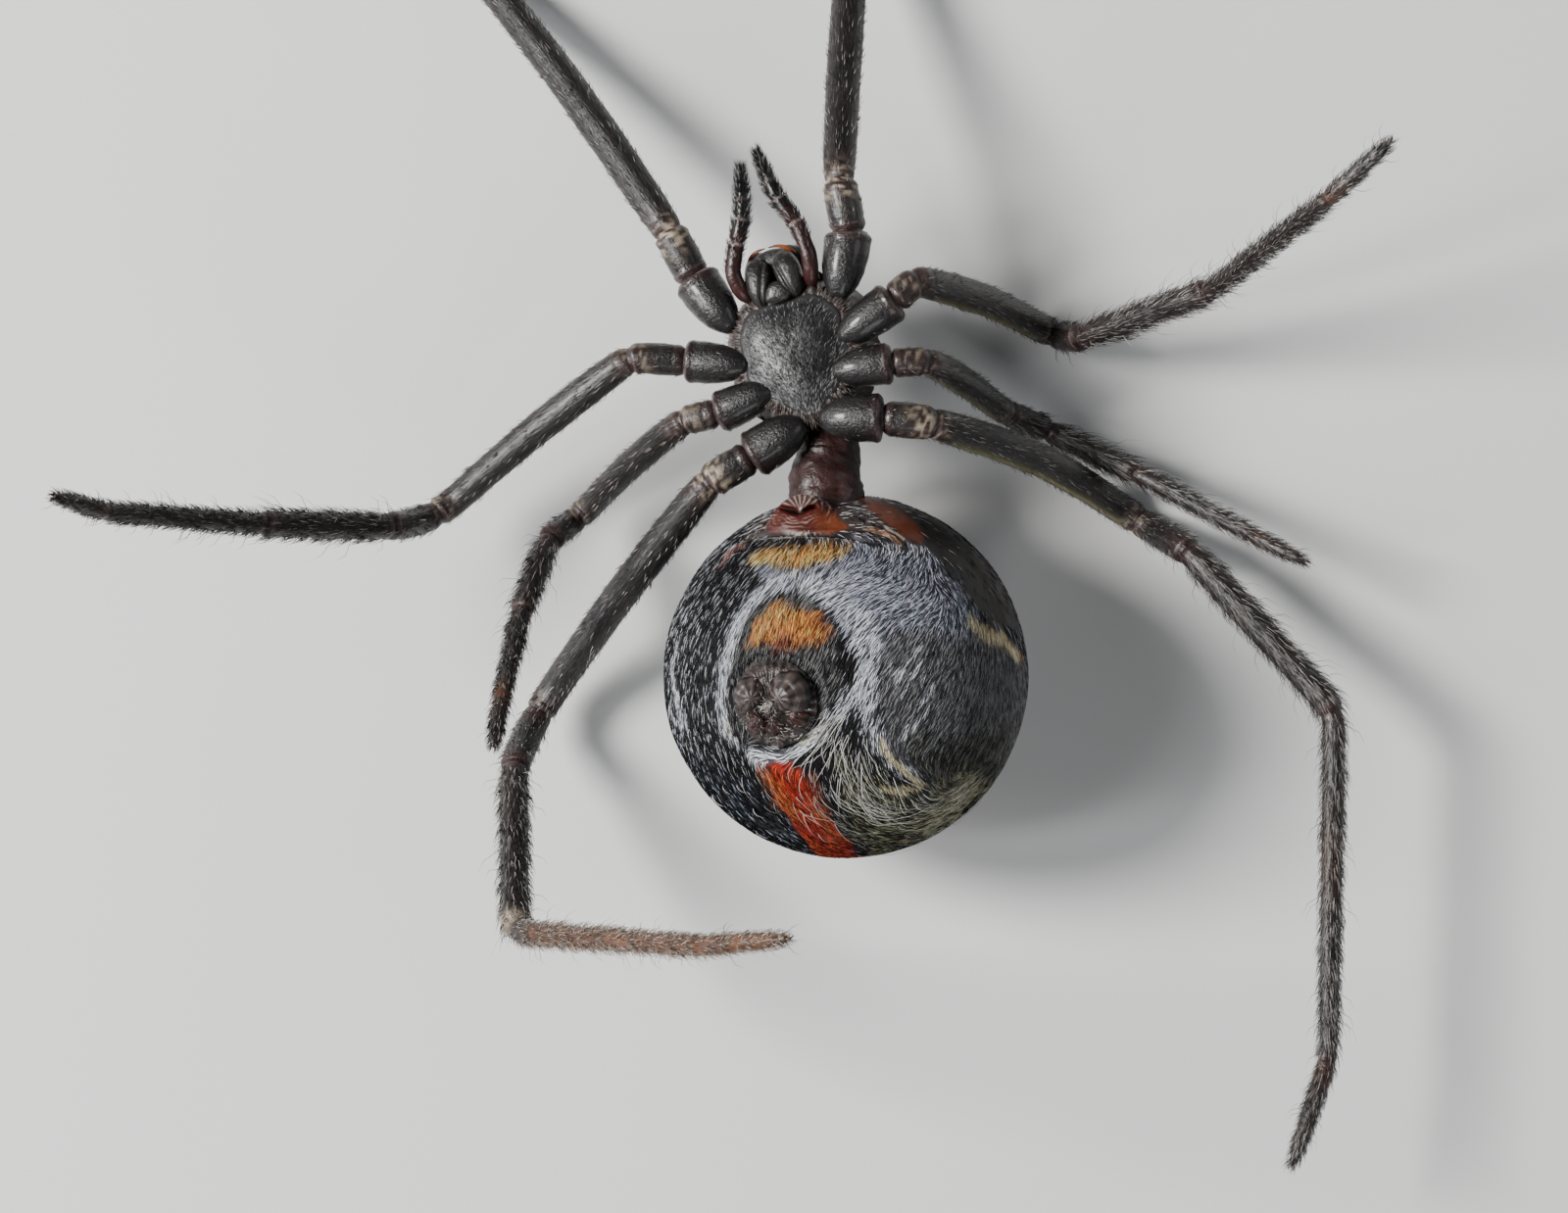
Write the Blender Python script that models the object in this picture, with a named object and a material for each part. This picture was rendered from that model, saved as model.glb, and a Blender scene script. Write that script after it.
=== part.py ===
import math

import bmesh
import bpy
from mathutils import Matrix, Vector

# Life-size spider lying on its back: belly up (+Z), head towards +Y, its own left side at +X.
# Every length below is in millimetres and every angle in degrees.
mm = 0.001
gap = 0.1

abdomen_radius = 3.75
abdomen_height = 3.56
epigynum_side = (-0.242, 0.898, 0.368)
spinneret_side = Vector((-0.392, -0.140, 0.909)).normalized()
pedicel_side = Vector((-0.125, 0.985, 0.095)).normalized()
body_left = Vector((0.911, 0.080, 0.405)).normalized()

# Front body: centre of the breast plate and the turn of the front body about it.
breast_centre = Vector((-1.103, 6.591, 4.45))
front_yaw = 14
front_pitch = -10
front_roll = -12
breast_widths = ((-1.30, 0.16), (-1.15, 0.40), (-0.80, 0.74), (-0.40, 0.97), (0.10, 1.05),
                 (0.50, 1.02), (0.90, 0.88), (1.08, 0.66))
breast_rise = 0.16
carapace_length = 4.0
carapace_width = 3.0
carapace_depth = 1.15
carapace_level = -1.03

# Legs: coxa base and coxa tip in the front body's own frame (sideways, forwards, up).
coxa_base = {1: (1.24, 1.10, -0.32), 2: (1.21, 0.13, -0.30), 3: (0.86, -0.58, -0.30), 4: (0.40, -1.47, -0.30)}
coxa_tip = {1: (1.69, 2.15, -0.42), 2: (2.26, 0.54, -0.40), 3: (1.89, -0.70, -0.40), 4: (1.43, -1.75, -0.40)}
segments = ("coxa", "femur", "patella", "tibia", "metatarsus", "tarsus")
trochanter = {"R1": 1.08, "L1": 1.08, "R2": 1.15, "L2": 0.575, "R3": 0.70, "L3": 0.70, "R4": 1.0, "L4": 1.0}
lengths = {1: (8.6, 2.5, 6.2, 8.2, 2.6), 2: (5.5, 1.8, 3.4, 4.7, 1.8),
           3: (3.8, 1.25, 2.15, 2.9, 1.3), 4: (6.85, 2.1, 4.6, 7.2, 2.3)}
radii = {1: (0.43, 0.34, 0.33, 0.29, 0.25, 0.25), 2: (0.40, 0.33, 0.31, 0.28, 0.25, 0.25),
         3: (0.39, 0.30, 0.28, 0.26, 0.25, 0.25), 4: (0.46, 0.34, 0.33, 0.30, 0.25, 0.25)}

# Heading (from +X towards +Y) and rise of the trochanter and the five segments after it.
pose = {
    "R1": ((118, 0), (126, -23), (118, 46), (110, 38), (102, 30), (96, 12)),
    "L1": ((102, 0), (85, -28.5), (88, 48), (82, 36), (76, 30), (70, 10)),
    "R2": ((176, 0), (-141, -18), (-168, 61), (179, 43), (176, 51), (162, 59)),
    "L2": ((44, 0), (-19, -54.7), (-10, 76), (19, 36), (38, 54), (43, 21)),
    "R3": ((-170, -8), (-138, -38), (-145, 55), (-109, 42), (-101, 52), (-98, 42)),
    "L3": ((3, 0), (-31, -60), (-21, -38), (-26, 18), (-29, 21), (-28, 25)),
    "R4": ((-149, 0), (-127, -29), (-112, 57), (-88, 44), (-1, 58), (7, 42)),
    "L4": ((-6, 0), (-24, -45.5), (-33, 58), (-48, 15), (-91, 0), (-110, 12)),
}
femur_bow = {"R1": 0.15, "L1": 0.15, "R2": 0.1, "L2": 0.2, "R3": 0.1, "L3": 0.1, "R4": 0.1, "L4": 0.35}
knee_round = {1: 0.95, 2: 0.80, 3: 0.55, 4: 0.95}
joint_round = 0.45

# Palps: stations in the front body's frame.
palp_path = {"R": ((-0.80, 1.92, 0.10), (-0.52, 2.52, 0.16), (-0.27, 2.96, 0.20), (-0.06, 3.91, 0.24)),
             "L": ((0.86, 1.84, 0.10), (0.78, 2.60, 0.16), (0.50, 3.14, 0.20), (0.36, 4.15, 0.24))}
palp_radii = (0.25, 0.25, 0.24, 0.20, 0.18, 0.10)


def front_frame():
    """Matrix that takes the front body's own frame to the world, in millimetres."""
    turn = (Matrix.Rotation(math.radians(front_yaw), 4, "Z")
            @ Matrix.Rotation(math.radians(front_pitch), 4, "X")
            @ Matrix.Rotation(math.radians(front_roll), 4, "Y"))
    return Matrix.Translation(breast_centre) @ turn


front = front_frame()


def direction(heading, rise):
    """Unit vector of a heading and a rise."""
    flat = math.cos(math.radians(rise))
    return Vector((flat * math.cos(math.radians(heading)), flat * math.sin(math.radians(heading)),
                   math.sin(math.radians(rise))))


def material(name, color, roughness):
    """Principled material of one colour."""
    made = bpy.data.materials.new(name)
    made.use_nodes = True
    shader = made.node_tree.nodes["Principled BSDF"]
    shader.inputs["Base Color"].default_value = (*color, 1.0)
    shader.inputs["Roughness"].default_value = roughness
    shader.inputs["Metallic"].default_value = 0.0
    return made


def add_object(name, mesh, collection, look=None, smooth=True):
    """Object of a mesh in a collection, with its material."""
    made = bpy.data.objects.new(name, mesh)
    collection.objects.link(made)
    if look:
        mesh.materials.clear()
        mesh.materials.append(look)
    for face in mesh.polygons:
        face.use_smooth = smooth
    return made


def mesh_of(shape, name):
    """Mesh of a bmesh, with outward normals."""
    bmesh.ops.recalc_face_normals(shape, faces=shape.faces)
    mesh = bpy.data.meshes.new(name)
    shape.to_mesh(mesh)
    shape.free()
    return mesh


def ball(name, matrix, columns=20, rows=12):
    """Unit ball placed and stretched by a matrix in millimetres."""
    shape = bmesh.new()
    bmesh.ops.create_uvsphere(shape, u_segments=columns, v_segments=rows, radius=1.0)
    bmesh.ops.transform(shape, matrix=Matrix.Scale(mm, 4) @ matrix, verts=shape.verts)
    return mesh_of(shape, name)


def stretched(centre, sizes, turn=None):
    """Matrix of a centre, three half sizes and a turn."""
    scale = Matrix.Diagonal((*sizes, 1.0))
    return Matrix.Translation(Vector(centre)) @ (turn if turn else Matrix.Identity(4)) @ scale


def tube(name, places, widths, rounds=4):
    """Closed tube through places with a radius at each."""
    curve = bpy.data.curves.new(name, "CURVE")
    curve.dimensions = "3D"
    curve.bevel_depth = mm
    curve.bevel_resolution = rounds
    curve.use_fill_caps = True
    line = curve.splines.new("POLY")
    line.points.add(len(places) - 1)
    for knot, place, width in zip(line.points, places, widths):
        knot.co = (*(Vector(place) * mm), 1.0)
        knot.radius = width
    carrier = bpy.data.objects.new(name + "_path", curve)
    bpy.context.scene.collection.objects.link(carrier)
    bpy.context.view_layer.update()
    mesh = bpy.data.meshes.new_from_object(carrier)
    shape = bmesh.new()
    shape.from_mesh(mesh)
    bmesh.ops.transform(shape, matrix=carrier.matrix_world, verts=shape.verts)
    bmesh.ops.remove_doubles(shape, verts=shape.verts, dist=1e-7)
    bpy.data.objects.remove(carrier)
    bpy.data.curves.remove(curve)
    bpy.data.meshes.remove(mesh)
    return mesh_of(shape, name)


def trimmed(mesh, place, normal):
    """Mesh cut flat by a plane; the side the normal points to is taken off."""
    shape = bmesh.new()
    shape.from_mesh(mesh)
    geometry = shape.verts[:] + shape.edges[:] + shape.faces[:]
    bmesh.ops.bisect_plane(shape, geom=geometry, dist=1e-8, plane_co=Vector(place) * mm,
                           plane_no=Vector(normal), clear_outer=True)
    rim = [edge for edge in shape.edges if edge.is_boundary]
    if rim:
        bmesh.ops.holes_fill(shape, edges=rim, sides=0)
    return mesh_of(shape, mesh.name)


def largest_surface(mesh):
    """Mesh with only its largest closed surface."""
    shape = bmesh.new()
    shape.from_mesh(mesh)
    bmesh.ops.remove_doubles(shape, verts=shape.verts, dist=2e-7)
    left = set(shape.verts)
    groups = []
    while left:
        stack = [left.pop()]
        group = set(stack)
        while stack:
            for edge in stack.pop().link_edges:
                for vert in edge.verts:
                    if vert in left:
                        left.discard(vert)
                        group.add(vert)
                        stack.append(vert)
        groups.append(group)
    groups.sort(key=len)
    for group in groups[:-1]:
        bmesh.ops.delete(shape, geom=list(group), context="VERTS")
    return mesh_of(shape, mesh.name)


def joined(name, meshes, collection, pieces, look):
    """One closed object from overlapping closed meshes."""
    base = add_object(name, meshes[0], collection, look)
    for number, mesh in enumerate(meshes[1:]):
        add_object(f"{name}_piece_{number}", mesh, pieces)
    union = base.modifiers.new("join", "BOOLEAN")
    union.operation = "UNION"
    union.operand_type = "COLLECTION"
    union.collection = pieces
    union.solver = "EXACT"
    bpy.context.view_layer.update()
    whole = bpy.data.meshes.new_from_object(base.evaluated_get(bpy.context.evaluated_depsgraph_get()))
    base.modifiers.remove(union)
    base.data = largest_surface(whole)
    base.data.materials.clear()
    base.data.materials.append(look)
    for face in base.data.polygons:
        face.use_smooth = True
    for piece in list(pieces.objects):
        bpy.data.objects.remove(piece)
    return base


def rounded_path(corners, rounds, turn_step=24.0):
    """Corner points joined by straight lines and round bends; returns points and bend middles."""
    path = [corners[0]]
    middles = []
    for before, corner, after, reach in zip(corners, corners[1:], corners[2:], rounds):
        back = (before - corner)
        ahead = (after - corner)
        reach = min(reach, 0.46 * back.length, 0.46 * ahead.length)
        back.normalize()
        ahead.normalize()
        bend = math.pi - back.angle(ahead)
        if bend < 0.02:
            path.append(corner)
            middles.append(len(path) - 1)
            continue
        half = (math.pi - bend) / 2
        centre = corner + (back + ahead).normalized() * (reach / math.cos(half))
        first = corner + back * reach - centre
        last = corner + ahead * reach - centre
        count = 2 * max(1, round(math.degrees(bend) / turn_step / 2))
        for step in range(count + 1):
            part = step / count
            spoke = (first * math.sin((1 - part) * bend) + last * math.sin(part * bend)) / math.sin(bend)
            path.append(centre + spoke)
        middles.append(len(path) - 1 - count // 2)
    path.append(corners[-1])
    return path, middles


def stretch_of(path, start, end):
    """Points of a path between two distances along it."""
    places = []
    gone = 0.0
    for one, two in zip(path, path[1:]):
        span = (two - one).length
        for mark in (start, end):
            if gone <= mark < gone + span:
                places.append((mark, one.lerp(two, (mark - gone) / span)))
        gone += span
        if start + 0.06 < gone < end - 0.06:
            places.append((gone, two))
    if end >= gone:
        places.append((gone, path[-1]))
    places.sort(key=lambda entry: entry[0])
    return places


def with_middles(places, longest):
    """Places with further ones put in on long straights."""
    full = [places[0]]
    for one, two in zip(places, places[1:]):
        count = max(1, math.ceil((two[0] - one[0]) / longest))
        for step in range(1, count + 1):
            part = step / count
            full.append((one[0] + (two[0] - one[0]) * part, one[1].lerp(two[1], part)))
    return full


def profile(kind, part):
    """Share of a segment's radius at a share of its length."""
    if kind == "coxa":
        marks = ((0.0, 0.86), (0.18, 1.0), (0.40, 1.0), (0.55, 0.86), (0.62, 0.80), (0.80, 0.84), (1.0, 0.78))
    elif kind == "femur":
        marks = ((0.0, 0.84), (0.08, 1.0), (0.5, 1.02), (0.85, 0.92), (1.0, 0.92))
    elif kind == "tarsus":
        marks = ((0.0, 1.0), (0.5, 0.9), (0.8, 0.72), (1.0, 0.35))
    else:
        marks = ((0.0, 0.88), (0.12, 1.0), (0.7, 1.0), (0.9, 1.04), (1.0, 0.90))
    for (low, one), (high, two) in zip(marks, marks[1:]):
        if part <= high:
            return one + (two - one) * (part - low) / (high - low)
    return marks[-1][1]


def leg_corners(leg):
    """Corner points of a leg, from the coxa's base to the tip."""
    side = 1 if leg[0] == "L" else -1
    number = int(leg[1])
    base = Vector(coxa_base[number])
    tip = Vector(coxa_tip[number])
    corners = [front @ Vector((side * base.x, base.y, base.z)), front @ Vector((side * tip.x, tip.y, tip.z))]
    for (heading, rise), length in zip(pose[leg], (trochanter[leg], *lengths[number])):
        corners.append(corners[-1] + direction(heading, rise) * length)
    return corners


def add_leg(leg, collection, looks):
    """Six closed nodes of one leg."""
    number = int(leg[1])
    corners = leg_corners(leg)
    chord = corners[3] - corners[2]
    outward = Vector((-chord.y, chord.x, 0)).normalized()
    bowed = (corners[2] + corners[3]) / 2 + outward * femur_bow[leg] * (1 if leg[0] == "L" else -1)
    corners.insert(3, bowed)
    rounds = (0.3, 0.35, 2.5, knee_round[number], joint_round, joint_round, joint_round)
    path, middles = rounded_path(corners, rounds)
    distances = [0.0]
    for one, two in zip(path, path[1:]):
        distances.append(distances[-1] + (two - one).length)
    bounds = [0.0] + [distances[middles[index]] for index in (1, 3, 4, 5, 6)] + [distances[-1]]
    for index, kind in enumerate(segments):
        start = bounds[index] + (gap / 2 if index else 0)
        end = bounds[index + 1] - (gap / 2 if index < 5 else 0)
        places = with_middles(stretch_of(path, start, end), 1.6)
        widths = [radii[number][index] * profile(kind, (at - start) / (end - start)) for at, _ in places]
        name = f"leg_{leg}_{kind}"
        mesh = tube(name, [place for _, place in places], widths)
        if min(vert.co.z for vert in mesh.vertices) < 0:
            mesh = trimmed(mesh, (0, 0, 0), (0, 0, -1))
        add_object(name, mesh, collection, looks["coxa_black" if index == 0 else "leg_black"])


def breast_half_width(forward):
    """Half width of the breast plate at a place along it."""
    if forward <= breast_widths[0][0]:
        return breast_widths[0][1]
    for (low, one), (high, two) in zip(breast_widths, breast_widths[1:]):
        if forward <= high:
            return one + (two - one) * (forward - low) / (high - low)
    return breast_widths[-1][1]


def outline(inset, columns=28):
    """Outline of the breast plate, drawn in by an inset."""
    rear = breast_widths[0][0] + inset
    fore = breast_widths[-1][0] - inset
    points = []
    for index in range(columns):
        turn = 2 * math.pi * (index + 0.5) / columns
        forward = (rear + fore) / 2 + (fore - rear) / 2 * max(-1.0, min(1.0, 1.12 * math.sin(turn)))
        width = breast_half_width(forward) - inset
        edge = width * max(-1.0, min(1.0, 1.5 * math.cos(turn)))
        points.append((edge, forward))
    return points


def slab(name, inset, low, high, top_inset=0.0, rise=0.0):
    """Closed slab of the breast outline between two levels of the front body's frame."""
    shape = bmesh.new()
    rings = []
    levels = [(low, 0.0), (high, 0.0)]
    if rise:
        levels += [(high + rise * 0.55, top_inset * 0.45), (high + rise, top_inset)]
    for level, extra in levels:
        rings.append([shape.verts.new((x, y, level)) for x, y in outline(inset + extra)])
    for lower, upper in zip(rings, rings[1:]):
        for index in range(len(lower)):
            following = (index + 1) % len(lower)
            shape.faces.new((lower[index], lower[following], upper[following], upper[index]))
    shape.faces.new(rings[0])
    shape.faces.new(rings[-1])
    bmesh.ops.transform(shape, matrix=Matrix.Scale(mm, 4) @ front, verts=shape.verts)
    bmesh.ops.remove_doubles(shape, verts=shape.verts, dist=1e-7)
    return mesh_of(shape, name)


def dome_point(x, y, z):
    """Place on the carapace of a direction of the unit ball, in the front body's frame."""
    pear = 1.0 - 0.42 * max(0.0, y) ** 1.3 - 0.06 * max(0.0, -y)
    hump = 1.0 + 0.10 * math.exp(-((y - 0.35) / 0.4) ** 2)
    height = carapace_depth * hump * z if z < 0 else 0.06 * z
    return Vector((x * carapace_width / 2 * pear, 0.25 + y * carapace_length / 2, carapace_level + height))


def carapace_meshes():
    """Dome of the back, core under the breast plate and eight eye domes."""
    shape = bmesh.new()
    bmesh.ops.create_uvsphere(shape, u_segments=28, v_segments=18, radius=1.0)
    turn = Matrix.Rotation(math.radians(90), 4, "X")
    bmesh.ops.transform(shape, matrix=turn, verts=shape.verts)
    for vert in shape.verts:
        vert.co = dome_point(*vert.co)
    bmesh.ops.transform(shape, matrix=Matrix.Scale(mm, 4) @ front, verts=shape.verts)
    dome = mesh_of(shape, "dome")
    rear = front @ Vector((0, -1.62, -1.2))
    back_normal = front.to_3x3() @ Vector((0, -1, 0))
    dome = trimmed(dome, rear, back_normal)
    meshes = [dome, slab("core", 0.17, carapace_level - 0.25, -breast_rise - gap)]
    for across, forward, down, size in ((0.14, 0.93, 0.34, 0.13), (0.44, 0.88, 0.36, 0.12),
                                        (0.20, 0.76, 0.64, 0.13), (0.52, 0.70, 0.60, 0.12)):
        for side in (-1, 1):
            spot = Vector((side * across, forward, -down)).normalized()
            centre = front @ dome_point(*spot)
            meshes.append(ball("eye", stretched(centre, (size, size, size)), 12, 8))
    return meshes


def turn_to(normal, across=None):
    """Rotation whose Z is a normal and whose X lies along another vector."""
    up = Vector(normal).normalized()
    side = Vector(across if across else body_left)
    side = (side - up * side.dot(up)).normalized()
    rows = Matrix((side, up.cross(side), up)).transposed()
    return rows.to_4x4()


def abdomen_point(side, out=0.0):
    """Place on the abdomen in a direction, raised by an amount."""
    return Vector((0, 0, abdomen_height)) + Vector(side).normalized() * (abdomen_radius + out)


def mirrored(side):
    """Direction on the other side of the body's middle plane."""
    return Vector(side) - body_left * 2 * Vector(side).dot(body_left)


def abdomen_meshes():
    """Round abdomen with its flats, raised front plate and the covers of the lungs."""
    centre = Vector((0, 0, abdomen_height))
    body = ball("abdomen", stretched(centre, (abdomen_radius,) * 3, turn_to(spinneret_side)), 36, 24)
    body = trimmed(body, centre + pedicel_side * 3.64, pedicel_side)
    body = trimmed(body, centre + spinneret_side * 3.62, spinneret_side)
    body = trimmed(body, (0, 0, 0), (0, 0, -1))
    front_side = Vector(epigynum_side)
    meshes = [body, ball("plate", stretched(abdomen_point(front_side, -0.16), (0.95, 0.5, 0.30),
                                            turn_to(front_side)), 20, 10)]
    lung = Vector((0.30, 0.865, 0.42))
    for side in (lung, mirrored(lung)):
        meshes.append(ball("lung", stretched(abdomen_point(side, -0.22), (0.62, 0.55, 0.30), turn_to(side)), 18, 10))
    return [body] + [trimmed(mesh, centre + pedicel_side * 3.62, pedicel_side) for mesh in meshes[1:]]


def spinneret_meshes():
    """Ring pad with six short cones."""
    start = Vector((0, 0, abdomen_height)) + spinneret_side * 3.72
    meshes = [tube("pad", [start + spinneret_side * out for out in (0, 0.12, 0.26, 0.34)],
                   (0.84, 0.86, 0.76, 0.60), 6)]
    turn = turn_to(spinneret_side).to_3x3()
    for angle, away, width, tall in ((35, 0.36, 0.26, 0.62), (145, 0.36, 0.26, 0.62), (-35, 0.34, 0.24, 0.56),
                                     (-145, 0.34, 0.24, 0.56), (80, 0.22, 0.15, 0.44), (-100, 0.20, 0.15, 0.44)):
        foot = start + turn @ Vector((away * math.cos(math.radians(angle)), away * math.sin(math.radians(angle)), 0.1))
        head = start + turn @ Vector((away * 0.7 * math.cos(math.radians(angle)),
                                      away * 0.7 * math.sin(math.radians(angle)), tall))
        places = [foot, foot.lerp(head, 0.6), foot.lerp(head, 0.9), head]
        meshes.append(tube("cone", places, (width, width * 0.85, width * 0.6, width * 0.35), 3))
    return meshes


def mouth_meshes():
    """Two lobes and the lip between them."""
    meshes = []
    for side in (-1, 1):
        turn = Matrix.Rotation(math.radians(side * 16), 4, "Z")
        meshes.append(ball("lobe", front @ stretched((side * 0.37, 1.56, -0.20), (0.28, 0.40, 0.30), turn), 16, 10))
    meshes.append(ball("lip", front @ stretched((0.0, 1.40, -0.18), (0.28, 0.20, 0.20)), 14, 8))
    return meshes


def chelicera_meshes(side):
    """Stout jaw and its curved fang."""
    jaw = [(side * 0.45, 1.93, -0.87), (side * 0.44, 2.02, -0.70), (side * 0.40, 2.16, -0.48), (side * 0.36, 2.25, -0.32)]
    fang = [(side * 0.42, 2.28, -0.36), (side * 0.36, 2.30, -0.22), (side * 0.22, 2.32, -0.16), (side * 0.07, 2.28, -0.16)]
    return [tube("jaw", [front @ Vector(place) for place in jaw], (0.30, 0.34, 0.32, 0.24)),
            tube("fang", [front @ Vector(place) for place in fang], (0.14, 0.13, 0.09, 0.03), 2)]


def add_palp(side, collection, look):
    """Closed palp node, from beside the mouth to its tip."""
    corners = [front @ Vector(place) for place in palp_path[side]]
    path, _ = rounded_path(corners, (0.3, 0.3))
    total = sum((two - one).length for one, two in zip(path, path[1:]))
    places = with_middles(stretch_of(path, 0.0, total), 0.5)
    marks = len(palp_radii) - 1
    widths = []
    for at, _ in places:
        spot = min(at / total * marks, marks - 1e-6)
        low = int(spot)
        widths.append(palp_radii[low] + (palp_radii[low + 1] - palp_radii[low]) * (spot - low))
    add_object(f"palp_{side}", tube("palp", [place for _, place in places], widths), collection, look)


def build():
    for item in list(bpy.data.objects):
        bpy.data.objects.remove(item)
    spider = bpy.data.collections.new("black_widow_spider")
    pieces = bpy.data.collections.new("cutters")
    bpy.context.scene.collection.children.link(spider)
    bpy.context.scene.collection.children.link(pieces)
    looks = {
        "coxa_black": material("coxa_black", (0.020, 0.014, 0.013), 0.28),
        "leg_black": material("leg_black", (0.045, 0.032, 0.030), 0.38),
        "breast_black": material("breast_black", (0.016, 0.016, 0.017), 0.32),
        "carapace_black": material("carapace_black", (0.018, 0.012, 0.011), 0.25),
        "abdomen_black": material("abdomen_black", (0.030, 0.030, 0.034), 0.42),
        "pedicel_brown": material("pedicel_brown", (0.070, 0.018, 0.014), 0.35),
        "spinneret_brown": material("spinneret_brown", (0.040, 0.018, 0.015), 0.45),
        "mouth_black": material("mouth_black", (0.020, 0.016, 0.016), 0.25),
        "jaw_brown": material("jaw_brown", (0.120, 0.035, 0.012), 0.30),
        "palp_brown": material("palp_brown", (0.050, 0.016, 0.014), 0.40),
    }
    joined("carapace", carapace_meshes(), spider, pieces, looks["carapace_black"])
    sternum = slab("sternum", 0.0, -breast_rise, -breast_rise + 0.06, 0.30, breast_rise - 0.06)
    add_object("sternum", sternum, spider, looks["breast_black"])
    joined("mouthparts", mouth_meshes(), spider, pieces, looks["mouth_black"])
    for name, side in (("R", -1), ("L", 1)):
        joined(f"chelicera_{name}", chelicera_meshes(side), spider, pieces, looks["jaw_brown"])
        add_palp(name, spider, looks["palp_brown"])
    joined("abdomen", abdomen_meshes(), spider, pieces, looks["abdomen_black"])
    joined("spinnerets", spinneret_meshes(), spider, pieces, looks["spinneret_brown"])
    back = front.to_3x3() @ Vector((0, -1, 0))
    rear = front @ Vector((0, -1.62, -1.22)) + back * gap
    end = Vector((0, 0, abdomen_height)) + pedicel_side * (3.64 + gap)
    bend = rear + back * 0.3
    stalk = tube("pedicel", [rear - back * 0.2, bend, bend.lerp(end, 0.6), end - pedicel_side * 0.3],
                 (0.38, 0.42, 0.52, 0.66))
    stalk = trimmed(trimmed(stalk, rear, -back), end, -pedicel_side)
    add_object("pedicel", stalk, spider, looks["pedicel_brown"])
    for leg in pose:
        add_leg(leg, spider, looks)
    pieces.hide_render = True


build()
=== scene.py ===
import math

import bpy
import numpy as np
from mathutils import Matrix, Vector, noise
from mathutils.kdtree import KDTree


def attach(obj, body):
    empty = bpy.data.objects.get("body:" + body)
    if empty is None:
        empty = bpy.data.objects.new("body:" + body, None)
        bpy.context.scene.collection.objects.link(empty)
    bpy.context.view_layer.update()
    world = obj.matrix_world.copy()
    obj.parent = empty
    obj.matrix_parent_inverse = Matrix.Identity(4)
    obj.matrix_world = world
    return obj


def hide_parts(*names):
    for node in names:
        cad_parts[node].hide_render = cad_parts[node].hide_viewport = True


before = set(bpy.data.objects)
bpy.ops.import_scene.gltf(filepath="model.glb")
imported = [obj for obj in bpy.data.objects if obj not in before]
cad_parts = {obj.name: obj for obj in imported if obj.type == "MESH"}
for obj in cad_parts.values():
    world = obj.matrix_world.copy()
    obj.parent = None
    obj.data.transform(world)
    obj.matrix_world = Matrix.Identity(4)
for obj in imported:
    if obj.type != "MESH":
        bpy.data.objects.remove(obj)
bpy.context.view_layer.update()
mm = 0.001

# Lengths are in millimetres and angles in degrees, as in the part's source; mm turns them into metres.
camera = {"place": (-1.263, 1.423, 204.0), "lens": 225.0}
# name, place, width, power, colour and, where it is a strip, height of each lamp
lamps = (
    ("keyLamp", (-142, 34, 136), 64, 0.80, (1.0, 0.985, 0.96)),
    ("stripLamp", (-120, -20, 90), 18, 0.17, (0.96, 0.98, 1.0), 120),
    ("sideLamp", (150, 40, 110), 90, 0.05, (0.93, 0.96, 1.0)),
    ("rimLamp", (40, -150, 120), 90, 0.10),
)
studio = {"air": (0.84, 0.87, 0.92, 1), "strength": 0.11, "aim": (0, 3, 3), "floorSize": 0.9,
          "floor": (0.62, 0.62, 0.615), "floorShade": (0.52, 0.52, 0.52)}


def sayStage(words):
    print("stage:", words)


def addCamera():
    data = bpy.data.cameras.new("camera")
    data.lens = camera["lens"]
    data.sensor_width = 36.0
    data.clip_start = 0.002
    data.clip_end = 4.0
    holder = bpy.data.objects.new("camera", data)
    holder.location = Vector(camera["place"]) * mm
    bpy.context.scene.collection.objects.link(holder)
    bpy.context.scene.camera = holder


def addLamp(name, place, size, power, colour=(1, 1, 1), tall=None):
    data = bpy.data.lights.new(name, "AREA")
    data.shape = "RECTANGLE" if tall else "DISK"
    data.size = size * mm
    if tall:
        data.size_y = tall * mm
    data.energy = power
    data.color = colour
    lamp = bpy.data.objects.new(name, data)
    lamp.location = Vector(place) * mm
    aim = Vector(studio["aim"]) * mm - lamp.location
    lamp.rotation_euler = aim.to_track_quat("-Z", "Y").to_euler()
    bpy.context.scene.collection.objects.link(lamp)


addCamera()
for lamp in lamps:
    addLamp(*lamp)
world = bpy.data.worlds.new("studio")
bpy.context.scene.world = world
world.use_nodes = True
background = world.node_tree.nodes["Background"].inputs
background["Color"].default_value = studio["air"]
background["Strength"].default_value = studio["strength"]
sayStage("camera and light")


# Shader maths: a socket with the usual arithmetic.
class Wire:
    def __init__(self, shader, socket):
        self.shader = shader
        self.socket = socket

    def maths(self, operation, other, turned=False):
        values = (other, self) if turned else (self, other)
        return self.shader.node("ShaderNodeMath", {"operation": operation}, {0: values[0], 1: values[1]})

    def __add__(self, other):
        return self.maths("ADD", other)

    def __radd__(self, other):
        return self.maths("ADD", other, True)

    def __sub__(self, other):
        return self.maths("SUBTRACT", other)

    def __rsub__(self, other):
        return self.maths("SUBTRACT", other, True)

    def __mul__(self, other):
        return self.maths("MULTIPLY", other)

    def __rmul__(self, other):
        return self.maths("MULTIPLY", other, True)

    def between(self, low, high):
        return self.maths("MAXIMUM", low).maths("MINIMUM", high)


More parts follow.
